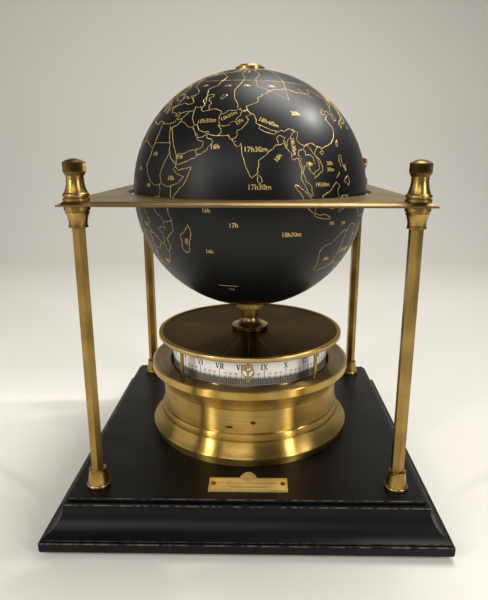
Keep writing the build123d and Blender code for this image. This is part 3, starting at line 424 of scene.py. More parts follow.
# ================================================================ black and white finishes
def black_lacquer(name, arrises):
    """Black lacquer brushed on wood: satin, faintly dusty, with grey lines along its arrises that are
    partly rubbed wear and partly painted highlight.

    Each arris is (half width, height, width of the grey line, share of grey), the first 3 in mm.
    """
    material, tree, coords = new_material(name)
    cloud = speckle(tree, coords, 26.0, 5.0)
    dust = speckle(tree, coords, 0.9, 2.0)
    broken = speckle(tree, coords, 3.4, 5.0)
    brushed = speckle(tree, coords, 1.6, 3.0, (0.12, 1, 1))
    colour = two_tone(tree, cloud, 0.35, 0.65, "#070707", "#0d0d0d")
    colour = two_tone(tree, dust, 0.66, 0.76, colour, "#6b6a66", share=0.06)
    folded = add_node(tree, "VectorMath", {0: coords}, operation="ABSOLUTE")
    x, y, z = add_node(tree, "SeparateXYZ", {0: folded}).node.outputs
    across = add_node(tree, "Math", {0: x, 1: y}, operation="MAXIMUM")
    section = add_node(tree, "CombineXYZ", {"X": across, "Y": z})
    for at_mm, z_mm, width_mm, share in arrises:
        arris = Vector((at_mm, z_mm, 0)) * MM
        away = add_node(tree, "VectorMath", {0: section, 1: arris}, operation="SUBTRACT")
        away = add_node(tree, "VectorMath", {0: away}, operation="ABSOLUTE")
        sideways, up, _ = add_node(tree, "SeparateXYZ", {0: away}).node.outputs
        far = add_node(tree, "Math", {0: sideways, 1: up}, operation="MAXIMUM")
        # grey along the arris: partly rubbed wear, partly a painted highlight on the edge
        worn_and_highlit = two_tone(tree, broken, 0.42, 0.60, colour, "#7d7c79", share)
        colour = two_tone(tree, far, width_mm * MM, 0.35 * width_mm * MM, colour, worn_and_highlit)
    return finish(material, {
        "Base Color": colour,
        "Roughness": add_node(tree, "MapRange", {0: cloud, 1: 0.3, 2: 0.7, 3: 0.44, 4: 0.34}),
        "Specular IOR Level": 0.20,
        "Normal": add_node(
            tree, "Bump", {"Height": brushed, "Distance": 0.012 * MM, "Strength": 0.5}
        ),
    })


def globe_black():
    """Matt black paint on spun metal: a soft grey sheen, faint rings from the lathe and fine dust."""
    material, tree, coords = new_material("matt_black_globe_paint")
    cloud = speckle(tree, coords, 30.0, 5.0)
    dust = speckle(tree, coords, 0.7, 2.0)
    rings = speckle(tree, turned_coords(tree, coords), 1.4, 2.0, (0, 0, 1))
    colour = two_tone(tree, cloud, 0.35, 0.65, "#070707", "#0c0c0c")
    return finish(material, {
        "Base Color": two_tone(tree, dust, 0.68, 0.78, colour, "#8c8a84", share=0.15),
        "Roughness": add_node(tree, "MapRange", {0: cloud, 1: 0.3, 2: 0.7, 3: 0.44, 4: 0.38}),
        "Specular IOR Level": 0.27,
        "Normal": add_node(
            tree, "Bump", {"Height": rings, "Distance": 0.006 * MM, "Strength": 0.4}
        ),
    })


def dial_enamel():
    """White enamel on brass, very slightly cream and uneven, glossy, with painted shade in grey over
    its lower band, where the minute track is.
    """
    material, tree, coords = new_material("white_dial_enamel")
    cloud = speckle(tree, coords, 9.0, 4.0)
    height = add_node(tree, "SeparateXYZ", {0: coords}, output="Z")
    white = two_tone(tree, cloud, 0.3, 0.7, "#efebe0", "#faf8f2")
    # painted shade: below this height the enamel fades to grey, where the dial sinks into the flange
    painted_shade_top, fade = DIAL_TOP - 11.0 * MM, 1.7 * MM
    return finish(material, {
        "Base Color": two_tone(tree, height, painted_shade_top, painted_shade_top - fade, white, "#918d84"),
        "Roughness": 0.34,
        "Normal": add_node(
            tree, "Bump", {"Height": cloud, "Distance": 0.02 * MM, "Strength": 0.3}
        ),
    })


def plain_finish(name, light, dark, roughness, grain_mm, depth_mm=0.01, metallic=0.0):
    """Moulded plastic, rubber or print: a slightly mottled colour and a fine moulded grain."""
    uneven = 0.05
    material, tree, coords = new_material(name)
    cloud = speckle(tree, coords, 12.0, 4.0)
    grain = speckle(tree, coords, grain_mm, 2.0)
    gloss = {0: grain, 1: 0.3, 2: 0.7, 3: roughness - uneven, 4: roughness + uneven}
    return finish(material, {
        "Base Color": two_tone(tree, cloud, 0.35, 0.65, dark, light),
        "Metallic": metallic,
        "Roughness": add_node(tree, "MapRange", gloss),
        "Normal": add_node(
            tree, "Bump", {"Height": grain, "Distance": depth_mm * MM, "Strength": 0.6}
        ),
    })


def gold_ink():
    """Hot-stamped gold foil: bright pale gold, thin enough to look a little broken."""
    material, tree, coords = new_material("stamped_gold_foil")
    worn = speckle(tree, coords, 1.1, 4.0)
    return finish(material, {
        "Base Color": two_tone(tree, worn, 0.34, 0.55, "#8a7040", "#d8bb74"),
        "Metallic": 0.55,
        "Roughness": 0.45,
    })


def at_corners(*families):
    return " ".join(f"{family}_{corner}" for family in families for corner in CORNERS)


def finish_nodes():
    """Give every CAD node its finish."""
    # painted highlight: the grey line on the slab's top arris stands for light caught along that
    # edge; the other arris lines are rubbed wear with some painted highlight
    slab_arris = (110.0, 8.8, 0.75, 0.6)
    cove_arrises = (99.25, 24.4, 0.55, 0.6), (108.7, 9.6, 0.4, 0.3)
    panel_arris = (96.8, 27.3, 0.5, 0.55)
    finishes = (
        (black_lacquer("black_lacquer_slab", (slab_arris,)), "base_plinth"),
        (black_lacquer("black_lacquer_moulding", cove_arrises), "base_cove"),
        (black_lacquer("black_lacquer_panel", (panel_arris,)), "base_top_panel"),
        (plain_finish("moulded_rubber", "#1b1b1a", "#131312", 0.8, 0.35, 0.03), "feet"),
        (label_brass(), "nameplate"),
        (dark_fitting_brass(), "nameplate_pins finial_caps"),
        (plate_brass(), "horizon_plate"),
        (column_brass(), "pillars " + at_corners("column")),
        (fitting_brass(), "foot_ferrules pointer pedestal globe_collar globe_cap "
         + at_corners("finial", "plate_ferrule")),
        (turned_brass("turned_drum_brass", drum_stains), "drum_foot drum_wall"),
        (turned_brass("turned_flange_brass", flange_dish), "drum_flange"),
        (disc_brass(), "top_disc"),
        (dial_enamel(), "dial_ring"),
        (globe_black(), "globe_north globe_south"),
        (light_metal("ground_steel", "#b9bbbd", 0.28),
         "tie_rods tie_rod_nuts drum_screws arbor plate_screws cover_screws globe_axle"),
        (light_metal("tinned_spring_steel", "#a7a9ab", 0.36), "battery_contacts friction_washer"),
        (light_metal("spun_aluminium", "#c9cbcd", 0.34), "dial_carrier globe_band"),
        (gear_brass(), "pedestal_nut hour_wheel movement_plate setting_wheel"),
        (bronze(), "upper_bush lower_bush"),
        (copper(), "motor_coil"),
        (plain_finish("moulded_black_abs", "#1c1c1d", "#121213", 0.5, 0.5),
         "setting_knob bottom_cover"),
        (plain_finish("moulded_acetal", "#e9e8e2", "#dcdad2", 0.42, 0.6),
         "reduction_gear motor_pinion"),
        (plain_finish("moulded_grey_abs", "#8b8d8f", "#7a7c7e", 0.5, 0.5),
         "movement_case movement_lid"),
        (plain_finish("green_solder_resist", "#1f5a35", "#174528", 0.35, 0.8), "circuit_board"),
        (plain_finish("printed_cell_jacket", "#3c4248", "#2c3136", 0.3, 1.0, metallic=0.4),
         "battery"),
    )
    for material, names in finishes:
        for name in names.split():
            node = nodes[name]
            if not node.material_slots:
                node.data.materials.append(material)
            for slot in node.material_slots:
                slot.material = material


# ================================================================ map on the globe
def on_globe(longitude, latitude, lift_mm=0.0):
    """Point on the globe; the front longitude faces -Y and north is up."""
    turn = math.radians(longitude - FRONT_LONGITUDE)
    tilt = math.radians(latitude)
    reach = GLOBE_R + lift_mm * MM
    return Vector((
        reach * math.cos(tilt) * math.sin(turn),
        -reach * math.cos(tilt) * math.cos(turn),
        GLOBE_Z + reach * math.sin(tilt),
    ))


def outlines(text):
    """Lists of (longitude, latitude) in degrees, from pairs with a stroke after each list."""
    return [
        [tuple(float(v) for v in pair.split(",")) for pair in part.split()]
        for part in text.strip(" /\n").split("/")
    ]


def map_line(points, closed, wander_mm, depth_mm):
    """Follow the globe from point to point in short steps, wandering a little as a coast does."""
    step = 1.3 * MM
    broad, fine, fine_share = 620.0, 1500.0, 0.6        # wander, in turns of noise to the metre
    # the map is printed a little askew to the axle
    askew = (
        Matrix.Rotation(math.radians(1.2), 3, "Y")
        @ Matrix.Rotation(math.radians(-1.0), 3, "X")
        @ Matrix.Rotation(math.radians(-0.6), 3, "Z")
    )
    ends = points + points[:1] if closed else points
    centre = Vector((0, 0, GLOBE_Z))
    reach = GLOBE_R - depth_mm * MM
    route = []
    for start, end in zip(ends, ends[1:]):
        first = askew @ (on_globe(*start) - centre)
        last = askew @ (on_globe(*end) - centre)
        count = max(1, round((last - first).length / step))
        for index in range(count):
            point = first.lerp(last, index / count)
            shift = noise.noise_vector(point * broad) + fine_share * noise.noise_vector(point * fine)
            route.append((point + shift * wander_mm * MM).normalized() * reach + centre)
    if not closed:
        route.append((askew @ (on_globe(*ends[-1]) - centre)).normalized() * reach + centre)
    return route


def print_map(name, lines, closed, radius_mm, wander_mm, depth_mm, material):
    """Raised gold lines, each a thin tube half sunk in the globe's paint."""
    data = bpy.data.curves.new(name, "CURVE")
    data.dimensions = "3D"
    data.bevel_depth = radius_mm * MM
    data.bevel_resolution = 1
    data.use_fill_caps = not closed
    for points in lines:
        route = map_line(points, closed, wander_mm, depth_mm)
        spline = data.splines.new("POLY")
        spline.points.add(len(route) - 1)
        for point, place in zip(spline.points, route):
            point.co = (*place, 1.0)
        spline.use_cyclic_u = closed
    mesh = mesh_of_curve(data)
    mesh.name = name
    mesh.materials.clear()
    mesh.materials.append(material)
    thing = link_object(name, mesh)
    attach(thing, "globe")


def text_mesh(words, height, thickness, bolder=0.0):
    """Flat solid lettering, its middle at the origin, as a bmesh."""
    data = bpy.data.curves.new("lettering", "FONT")
    data.body = words
    data.align_x = "CENTER"
    data.align_y = "CENTER"
    data.size = height / CAPITALS
    data.extrude = thickness / 2
    data.offset = bolder
    data.resolution_u = 3
    mesh = mesh_of_curve(data)
    made = bmesh.new()
    made.from_mesh(mesh)
    bpy.data.meshes.remove(mesh)
    return made


def print_hours(material):
    """Hour labels such as 17h30m, wrapped on the globe, in solid letters just proud of the paint."""
    thickness, bolder, lift_mm, narrower = 0.12 * MM, 0.06 * MM, 0.02, 0.94
    whole = bmesh.new()
    for label in HOURS.split():
        words, *numbers = label.split(",")
        longitude, latitude, turn, height_mm = (float(number) for number in numbers)
        letters = text_mesh(words, narrower * height_mm * MM, thickness, bolder)
        bmesh.ops.rotate(
            letters, verts=letters.verts[:], cent=(0, 0, 0),
            matrix=Matrix.Rotation(math.radians(turn), 3, "Z"),
        )
        across = GLOBE_R * math.cos(math.radians(latitude))
        for vertex in letters.verts:
            east = longitude + math.degrees(vertex.co.x / across)
            north = latitude + math.degrees(vertex.co.y / GLOBE_R)
            vertex.co = on_globe(east, north, vertex.co.z / MM + lift_mm)
        add_to(whole, letters)
    thing = mesh_object("globe_hour_labels", whole, material)
    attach(thing, "globe")


COASTS = (
    # Europe, Asia and Africa
    """
35,29.5 34.9,28.1 36.5,26 37.2,24.5 38.5,22.8 39.1,21.4 40.5,19.8 41.5,17.9 42.7,16.4 42.8,14.5
43.3,12.7 45,12.8 47.9,13.9 49.1,14.5 52.2,15.6 53.3,16.8 54,17 55.2,17.5 56.6,18.6 57.8,19
57.7,20.3 58.6,20.5 59.8,22.5 58.6,23.6 57,24 56.4,25.4 56.3,26.3 55.5,25.4 54.4,24.4 52.6,24.2
51.6,24.4 51.6,25.5 51.2,26.1 50.8,25.5 50.7,24.8 50.1,26.2 49.6,27.2 48.6,28.2 48,29.4 48.5,30
49.5,30.1 50.2,30 50.8,28.8 51.5,27.9 52.7,27.4 54.5,26.6 56.2,27.1 57,26.8 57.3,25.8 59,25.4
61.6,25.2 63.5,25.2 65,25.3 66.6,25.3 66.8,24.8 67.4,24 68.2,23.7 68.7,22.9 70.3,22.9 69.2,22.3
69.6,21.6 70.9,20.7 72.1,21.2 72.4,22.2 72.6,21.2 72.8,20.4 72.8,19 73.3,17 73.9,15.4 74.7,13.3
75.3,11.9 76.2,10 76.6,8.9 77.5,8.1 78.2,8.9 79,9.3 79.9,10.3 79.8,11.9 80.3,13.1 80.1,15.1
80.9,15.8 82.3,16.7 83.3,17.7 85,19.4 86.4,20 87,21.4 88.2,21.7 89.5,21.8 90.4,22.3 91.5,22.7
92,21 93,20.1 94.4,18.5 94.4,16 95.4,15.8 96.4,16.5 97.6,16.3 97.8,14.6 98.6,12 98.5,10 98.3,8.2
99.4,6.7 100.3,5.5 101.3,3 103.4,1.4 104.2,1.4 103.4,3.5 103.3,5.2 102.2,6.3 100.6,7.3 100,9.4
99.3,10.8 99.9,12.6 100.1,13.4 101,13.4 102.5,12.1 103.5,10.6 104.9,10 104.8,8.6 106.6,9.7
107.3,10.5 109.1,11.7 109.2,13.5 108.2,16.1 106.6,17.7 105.7,19 106.8,20.7 108.2,21.6 109.7,21.5
110,20.4 110.6,21.2 113,22 114.2,22.3 116.7,23.3 118.1,24.5 119.6,25.7 120.6,27.6 121.9,29.4
121.9,31.2 120.8,32.8 119.3,34.9 120.6,36.2 122.5,37.1 121,37.6 119,37.4 117.7,38.8 119,39.2
121.2,40.8 121.7,39 124.3,39.9 125.2,38.6 126.6,37.2 126.4,34.6 129.2,35.3 129.4,37 127.6,39.3
129.7,41 130.7,42.4 132.3,43.2 135.5,44.4 138.2,46.8 140.4,48.5 140.4,51 141.2,53.2 137.6,54
135.5,54.7 138.7,57 142.5,59.2 148,59.4 152,59.2 155,59.4 159.8,61.5 163.2,62.5 163,60.5 162,58
156.8,57.6 155.6,54.5 156.7,51.1 158.6,53 160,55 162,56.2 163.2,58.8 166.2,59.9 170.5,60.1
174,61.8 179.5,62.3 177.4,64.5 187,64.3 190.3,66.1 185,67.4 180,69 175,69.8 170.5,69.2 161,69.5
152,71 140,72.5 130,71 127,73.3 118,73.2 113.5,73.6 105,77.5 98,76 87,75 80.5,73.6 80.5,72 75,72
73,71.5 73.5,68.5 72.8,66.8 71.5,66.3 72.3,69 72.7,72.8 69.5,72.9 66.8,70.8 67,69 60.5,69.7
59,68.4 54,68.3 53,67 46,68.2 44,66.2 42,66.4 40,64.6 37,65.1 34.8,64.5 32.5,67 38,66.1 41.2,66.8
36,69.2 31,69.9 25.8,71.1 19,69.8 14.5,67.5 12.5,65.8 10,63.9 5.2,62 5,60 6,58.3 8,58 10.6,59.4
11.9,58 12.9,55.5 14.3,55.5 16.5,56.8 17,58.7 18.9,60 17.2,61.8 21.5,64.6 24,65.9 25.3,65
21.3,62.8 21.4,61 23,59.9 30,59.9 24,59.3 23.6,58.6 24.3,57.3 21.6,57.4 21,55.5 19.5,54.4
14.5,53.9 11,54.2 10,55.5 10.5,57.6 8.2,56.7 8.7,54.2 5,53 3.5,51.5 1.6,50.6 -1.7,49.6 -4.7,48.5
-2.2,47.2 -1.2,44.6 -1.8,43.4 -9.2,43.2 -8.9,41.5 -9.5,38.8 -8.9,37 -6.3,36.8 -5.6,36 -2,36.8
0,38.7 0.8,41 3.2,42.3 4.8,43.4 7.5,43.8 8.9,44.4 10.3,43.3 12.3,41.7 15.6,40 15.7,38 17.1,39.2
16.9,40.5 18.5,40.2 15.9,41.9 13.6,43.6 12.4,45.3 13.7,45.5 15,44.5 19.3,42 19.4,40.3 21.1,38.3
21.7,36.8 23.2,36.5 23,37.9 24,38 22.8,39.5 23.8,40 26,40.8 29,41.1 28,42 28.6,43.8 30.7,46.4
33,46.1 33.5,44.5 36.5,45.3 35,46.2 39.3,47.2 38,46.3 37.5,45.2 39.5,43.7 41.6,41.7 38,41 35,42
31.5,41.3 29.2,41.2 26.2,39.4 27,37.7 28,36.7 30.6,36.8 32.5,36.1 34.6,36.8 36,36 35.5,33.9
34.5,31.5 32.3,31.2 29,30.9 25,31.6 23,32.5 20.1,32.6 20,30.8 15.5,31.8 15.2,32.3 11.2,33.2
10.2,34.3 11,36.9 9.8,37.3 3,36.9 -2,35.2 -5.4,35.9 -6.8,34 -9.7,31.5 -10,29.4 -13,27.8 -16,24
-17,21 -16.3,19 -17.5,14.7 -16.8,12.4 -13.5,9.8 -11.5,6.9 -7.6,4.4 -4,5.2 0,5.6 2.5,6.3 5,5.8
6,4.3 8.6,4.7 9.5,4 9.6,1 9,-0.7 11.8,-4.6 13.3,-8.8 13.8,-11 11.8,-16.5 13,-20 14.5,-22.9
15.2,-27 17.2,-30.5 18.3,-33.9 20,-34.8 25.7,-34 30,-31.3 32.8,-27.5 32.9,-25.9 35.5,-24 35.2,-21
34.8,-19.8 37,-17.8 40.7,-15 40.5,-10.7 39.3,-8.5 38.9,-6 39.2,-4.7 41.6,-1.9 46,3 48,4.5 50,8.5
51.3,11.8 48,11.2 44.5,10.4 43.2,11.6 42.8,12.9 39.6,15.4 37.3,18.8 37.2,21 35.5,24 33.6,27.8
32.6,29.9 34.2,27.8 /
    """,
    # the Americas
    """
-168,65.6 -162,66.5 -166,68.3 -156.5,71.3 -141,69.6 -128,70.3 -115,68.5 -108,68 -95,68 -94,72
-88,68.3 -82,68.5 -86,66.3 -94,61 -94.6,58.8 -92.5,57 -82.3,55.1 -82,52.8 -79.5,51.3 -78.8,52.5
-79,54.7 -76.6,57.2 -78,59 -77.5,62.5 -70,61 -69.5,58.8 -64.5,60.3 -61.5,56.5 -55.7,52.5 -60,50.2
-66.5,50.3 -70,47.1 -65,49.2 -64.3,47.8 -64,46.2 -60,46 -66,43.6 -67,44.8 -70.5,43 -70,41.7
-74,40.6 -75.5,38 -75.6,35.2 -81.2,31.5 -80.1,26 -81.8,26 -83,29.5 -85.5,29.8 -89.3,29.2
-94.8,29.3 -97.3,27.5 -97.8,22.3 -95.8,18.8 -91,18.6 -90.3,21 -87,21.4 -88,17.5 -88.6,15.9
-83.3,15 -83.6,11 -81,8.9 -79.6,9.5 -77.3,8.5 -75.6,10.6 -71.8,12.4 -71.5,10.9 -68.3,11 -62,10.7
-57,6 -51.5,4.2 -50,0 -44.5,-2.5 -39,-3.3 -35,-5.5 -34.9,-8.5 -38.9,-13 -39.5,-18.5 -41,-22
-46,-24 -48.6,-27 -52.5,-33 -56.7,-36.3 -57.8,-38.3 -62.2,-39 -65,-41 -63.8,-42.5 -67.5,-46
-66,-48 -69,-50.5 -68.5,-52.5 -65.3,-54.8 -70,-55.3 -75,-51 -75.5,-46.7 -73,-43 -73.7,-37.2
-71.5,-31 -70.2,-20 -76.2,-14 -81.2,-6 -80.3,-3.3 -80,1 -77.3,4 -78.5,8.3 -80.5,7.3 -83.5,8.4
-85.8,10.3 -87.6,13 -94,16 -97,15.8 -102,17.9 -105.5,20.3 -106.5,23.5 -112.8,30.5 -114.8,31.6
-113,28.5 -110.5,24.5 -109.6,23 -112.2,25.5 -115,28 -117.2,32.6 -120.6,34.6 -123.7,38.9
-124.4,42.5 -124,46.3 -123,49 -127.5,51.5 -130.5,55 -135.5,58 -139.5,59.8 -148,60.2 -151.5,59.2
-156.5,57 -164.5,54.6 -158,57 -157,58.8 -162,59 -165.5,61.5 -164.5,63.2 -161,64.5 -166,64.5 /
    """,
    # Madagascar, Sri Lanka, Sumatra, Java, Borneo, Sulawesi, New Guinea
    """
49.3,-12 50.4,-15.8 49.5,-18 47.1,-24.9 45.2,-25.5 43.6,-23.4 44.4,-20 44,-17 46.3,-15.8 47.9,-14 /
80,9.7 81.2,8.5 81.9,7 80.6,6 79.9,6.9 79.8,8.3 /
95.3,5.6 97.5,5.2 100.3,2.9 103.3,0.4 104.5,-1.9 106,-3.2 105.8,-5.8 104.6,-5.8 102.3,-4
100.5,-1.3 98.8,1.6 97,3.3 /
105.2,-6.8 106.5,-6.1 108.5,-6.7 110.9,-6.4 112.7,-7 114.5,-7.8 114.4,-8.7 110.5,-8.2 108,-7.8
106.4,-7.4 /
109,1.5 110.3,1.7 111.3,2.5 113,3.2 115,5 116.8,7 119.2,5.3 117.8,4.1 118,2 119,1 117.5,0
116.5,-2 116,-4 114.5,-4.1 111.8,-3.4 110.1,-1.4 109.2,0.4 /
119.5,0 120.8,1.3 125,1.5 123.2,0.4 120.3,0.5 121,-1 123.3,-0.7 121.6,-1.9 122.8,-4.3 121.5,-4.6
120.9,-3 120.4,-5.5 119.5,-5.4 118.9,-2.7 /
131,-0.8 134,-0.8 135.2,-3.3 137.8,-1.6 141,-2.6 144.5,-3.9 147.8,-6 147.2,-7.4 150.8,-10.4
147.2,-9.5 144,-7.7 141,-9.1 138,-8.2 138.7,-6.9 135,-4.4 132.8,-4 132.7,-2.7 /
    """,
    # the Philippines, Taiwan, Hainan, Japan, Sakhalin
    """
120.6,18.5 122.2,18.4 121.5,16 124,12.7 122,13.8 120.7,13.8 120,15.8 120.4,17.5 /
123.5,8.6 125.4,9.8 126.4,7 125.5,5.7 124,6.8 122,7 /
117.2,8.4 119.5,11.3 119,10.4 /
121.5,25.3 121.9,24.9 120.9,21.9 120.1,23.2 /
110.5,20 111,19.6 109.6,18.2 108.7,19.2 /
130.9,33.9 131.9,33.2 130.8,31.1 129.7,33 /
130.9,34 133,35.5 136,35.7 137.3,37.4 138.6,37.4 140,39.7 141.4,41.4 141.9,39.6 140.8,36.5 140,35
138.8,34.7 136.9,34.4 135.8,33.5 134.5,34.7 132.4,34.2 /
140.1,41.5 141.3,43.3 141.7,45.4 145.3,43.4 143.2,42 141,42.4 /
142.1,46 142,49 142.7,54.3 143.3,52.5 143.5,49 142.7,47.3 /
    """,
    # Australia, Tasmania, New Zealand
    """
142.5,-10.7 141.6,-14 140.8,-17.5 139,-17.3 135.5,-15 136.8,-12.2 133,-11.5 130.8,-12.5
129.6,-14.9 126.8,-13.9 124,-16.3 122.2,-18.1 119,-20 114.2,-21.8 113.4,-24.5 114.2,-26.4
115.7,-31.8 115.1,-34.3 118,-35.1 123.9,-33.9 129,-31.7 131.2,-31.5 135,-34.6 137.8,-32.7
137.5,-35.1 139.7,-37 143.5,-38.8 146.4,-39.1 149.9,-37.5 151.2,-33.9 153.2,-30 153.1,-26
150.8,-23.2 146.5,-19 145.3,-15 143.5,-14.2 /
144.7,-40.7 148.3,-40.9 147.9,-43.2 146,-43.5 /
172.7,-34.4 175.8,-36.8 178.5,-37.7 177,-39.5 175.3,-41.6 173.8,-39.3 174.8,-37.5 /
172.7,-40.5 174.3,-41.7 171.2,-44.3 170.6,-45.9 168.5,-46.6 166.5,-46 170.5,-42.8 /
    """,
    # Antarctica, Greenland
    """
-180,-78 -160,-78 -150,-77 -130,-74.5 -110,-74.5 -100,-72.5 -75,-73 -68,-69 -58,-63.5 -60,-68
-62,-75 -45,-78 -35,-78 -25,-74.5 -12,-71.5 0,-70 15,-70 35,-69 50,-67 58,-67 70,-69.5 78,-68.5
90,-66.5 105,-66 120,-67 135,-66 150,-68.5 165,-71 170,-73 164,-77 /
-73,78.3 -66,76 -58.5,75.5 -54.5,71.5 -53.5,67 -51.5,64 -48.5,61 -43.5,59.9 -40,65 -32,68
-22,70.3 -19.5,75 -18,80 -32,83.3 -60,81.8 /
    """,
    # Britain, Ireland, Iceland, Novaya Zemlya, Svalbard, Cyprus
    """
-5.5,50.1 -1.5,50.6 1.4,51.2 1.7,52.6 0,53.5 -1.5,55 -2,57.6 -4,57.6 -3,58.6 -5,58.6 -6,56.6
-4.8,54.8 -3,54 -4.5,53.3 -4.3,52 -5.2,51.8 -3.2,51.4 /
-6,52.2 -6,54 -7.5,55.3 -10,54.2 -10.2,52 -8.5,51.6 /
-22.5,64 -14,64.8 -15,66.3 -18,66.1 -22.5,66.4 -24,65.3 /
52,71.5 55.5,74.5 66,76.8 69,76.5 59,74 57.5,71 /
12,79.5 20,80 25,79.5 21,77.5 16.5,76.7 /
32.4,34.9 34.3,35.5 33.8,34.9 /
    """,
    # the Caspian and Aral Seas
    """
47.5,43 49,46.2 51,46.8 53.2,46.5 53,45.2 51,44.5 51.5,42.8 52.7,42.6 53.8,40.9 53,39.9 53.9,37.3
51,36.7 49,37.6 49.4,39.4 50.2,40.3 48.5,42 /
58.3,45 59.5,46.5 61.8,46.3 60,44.2 58.8,43.6 /
    """,
)

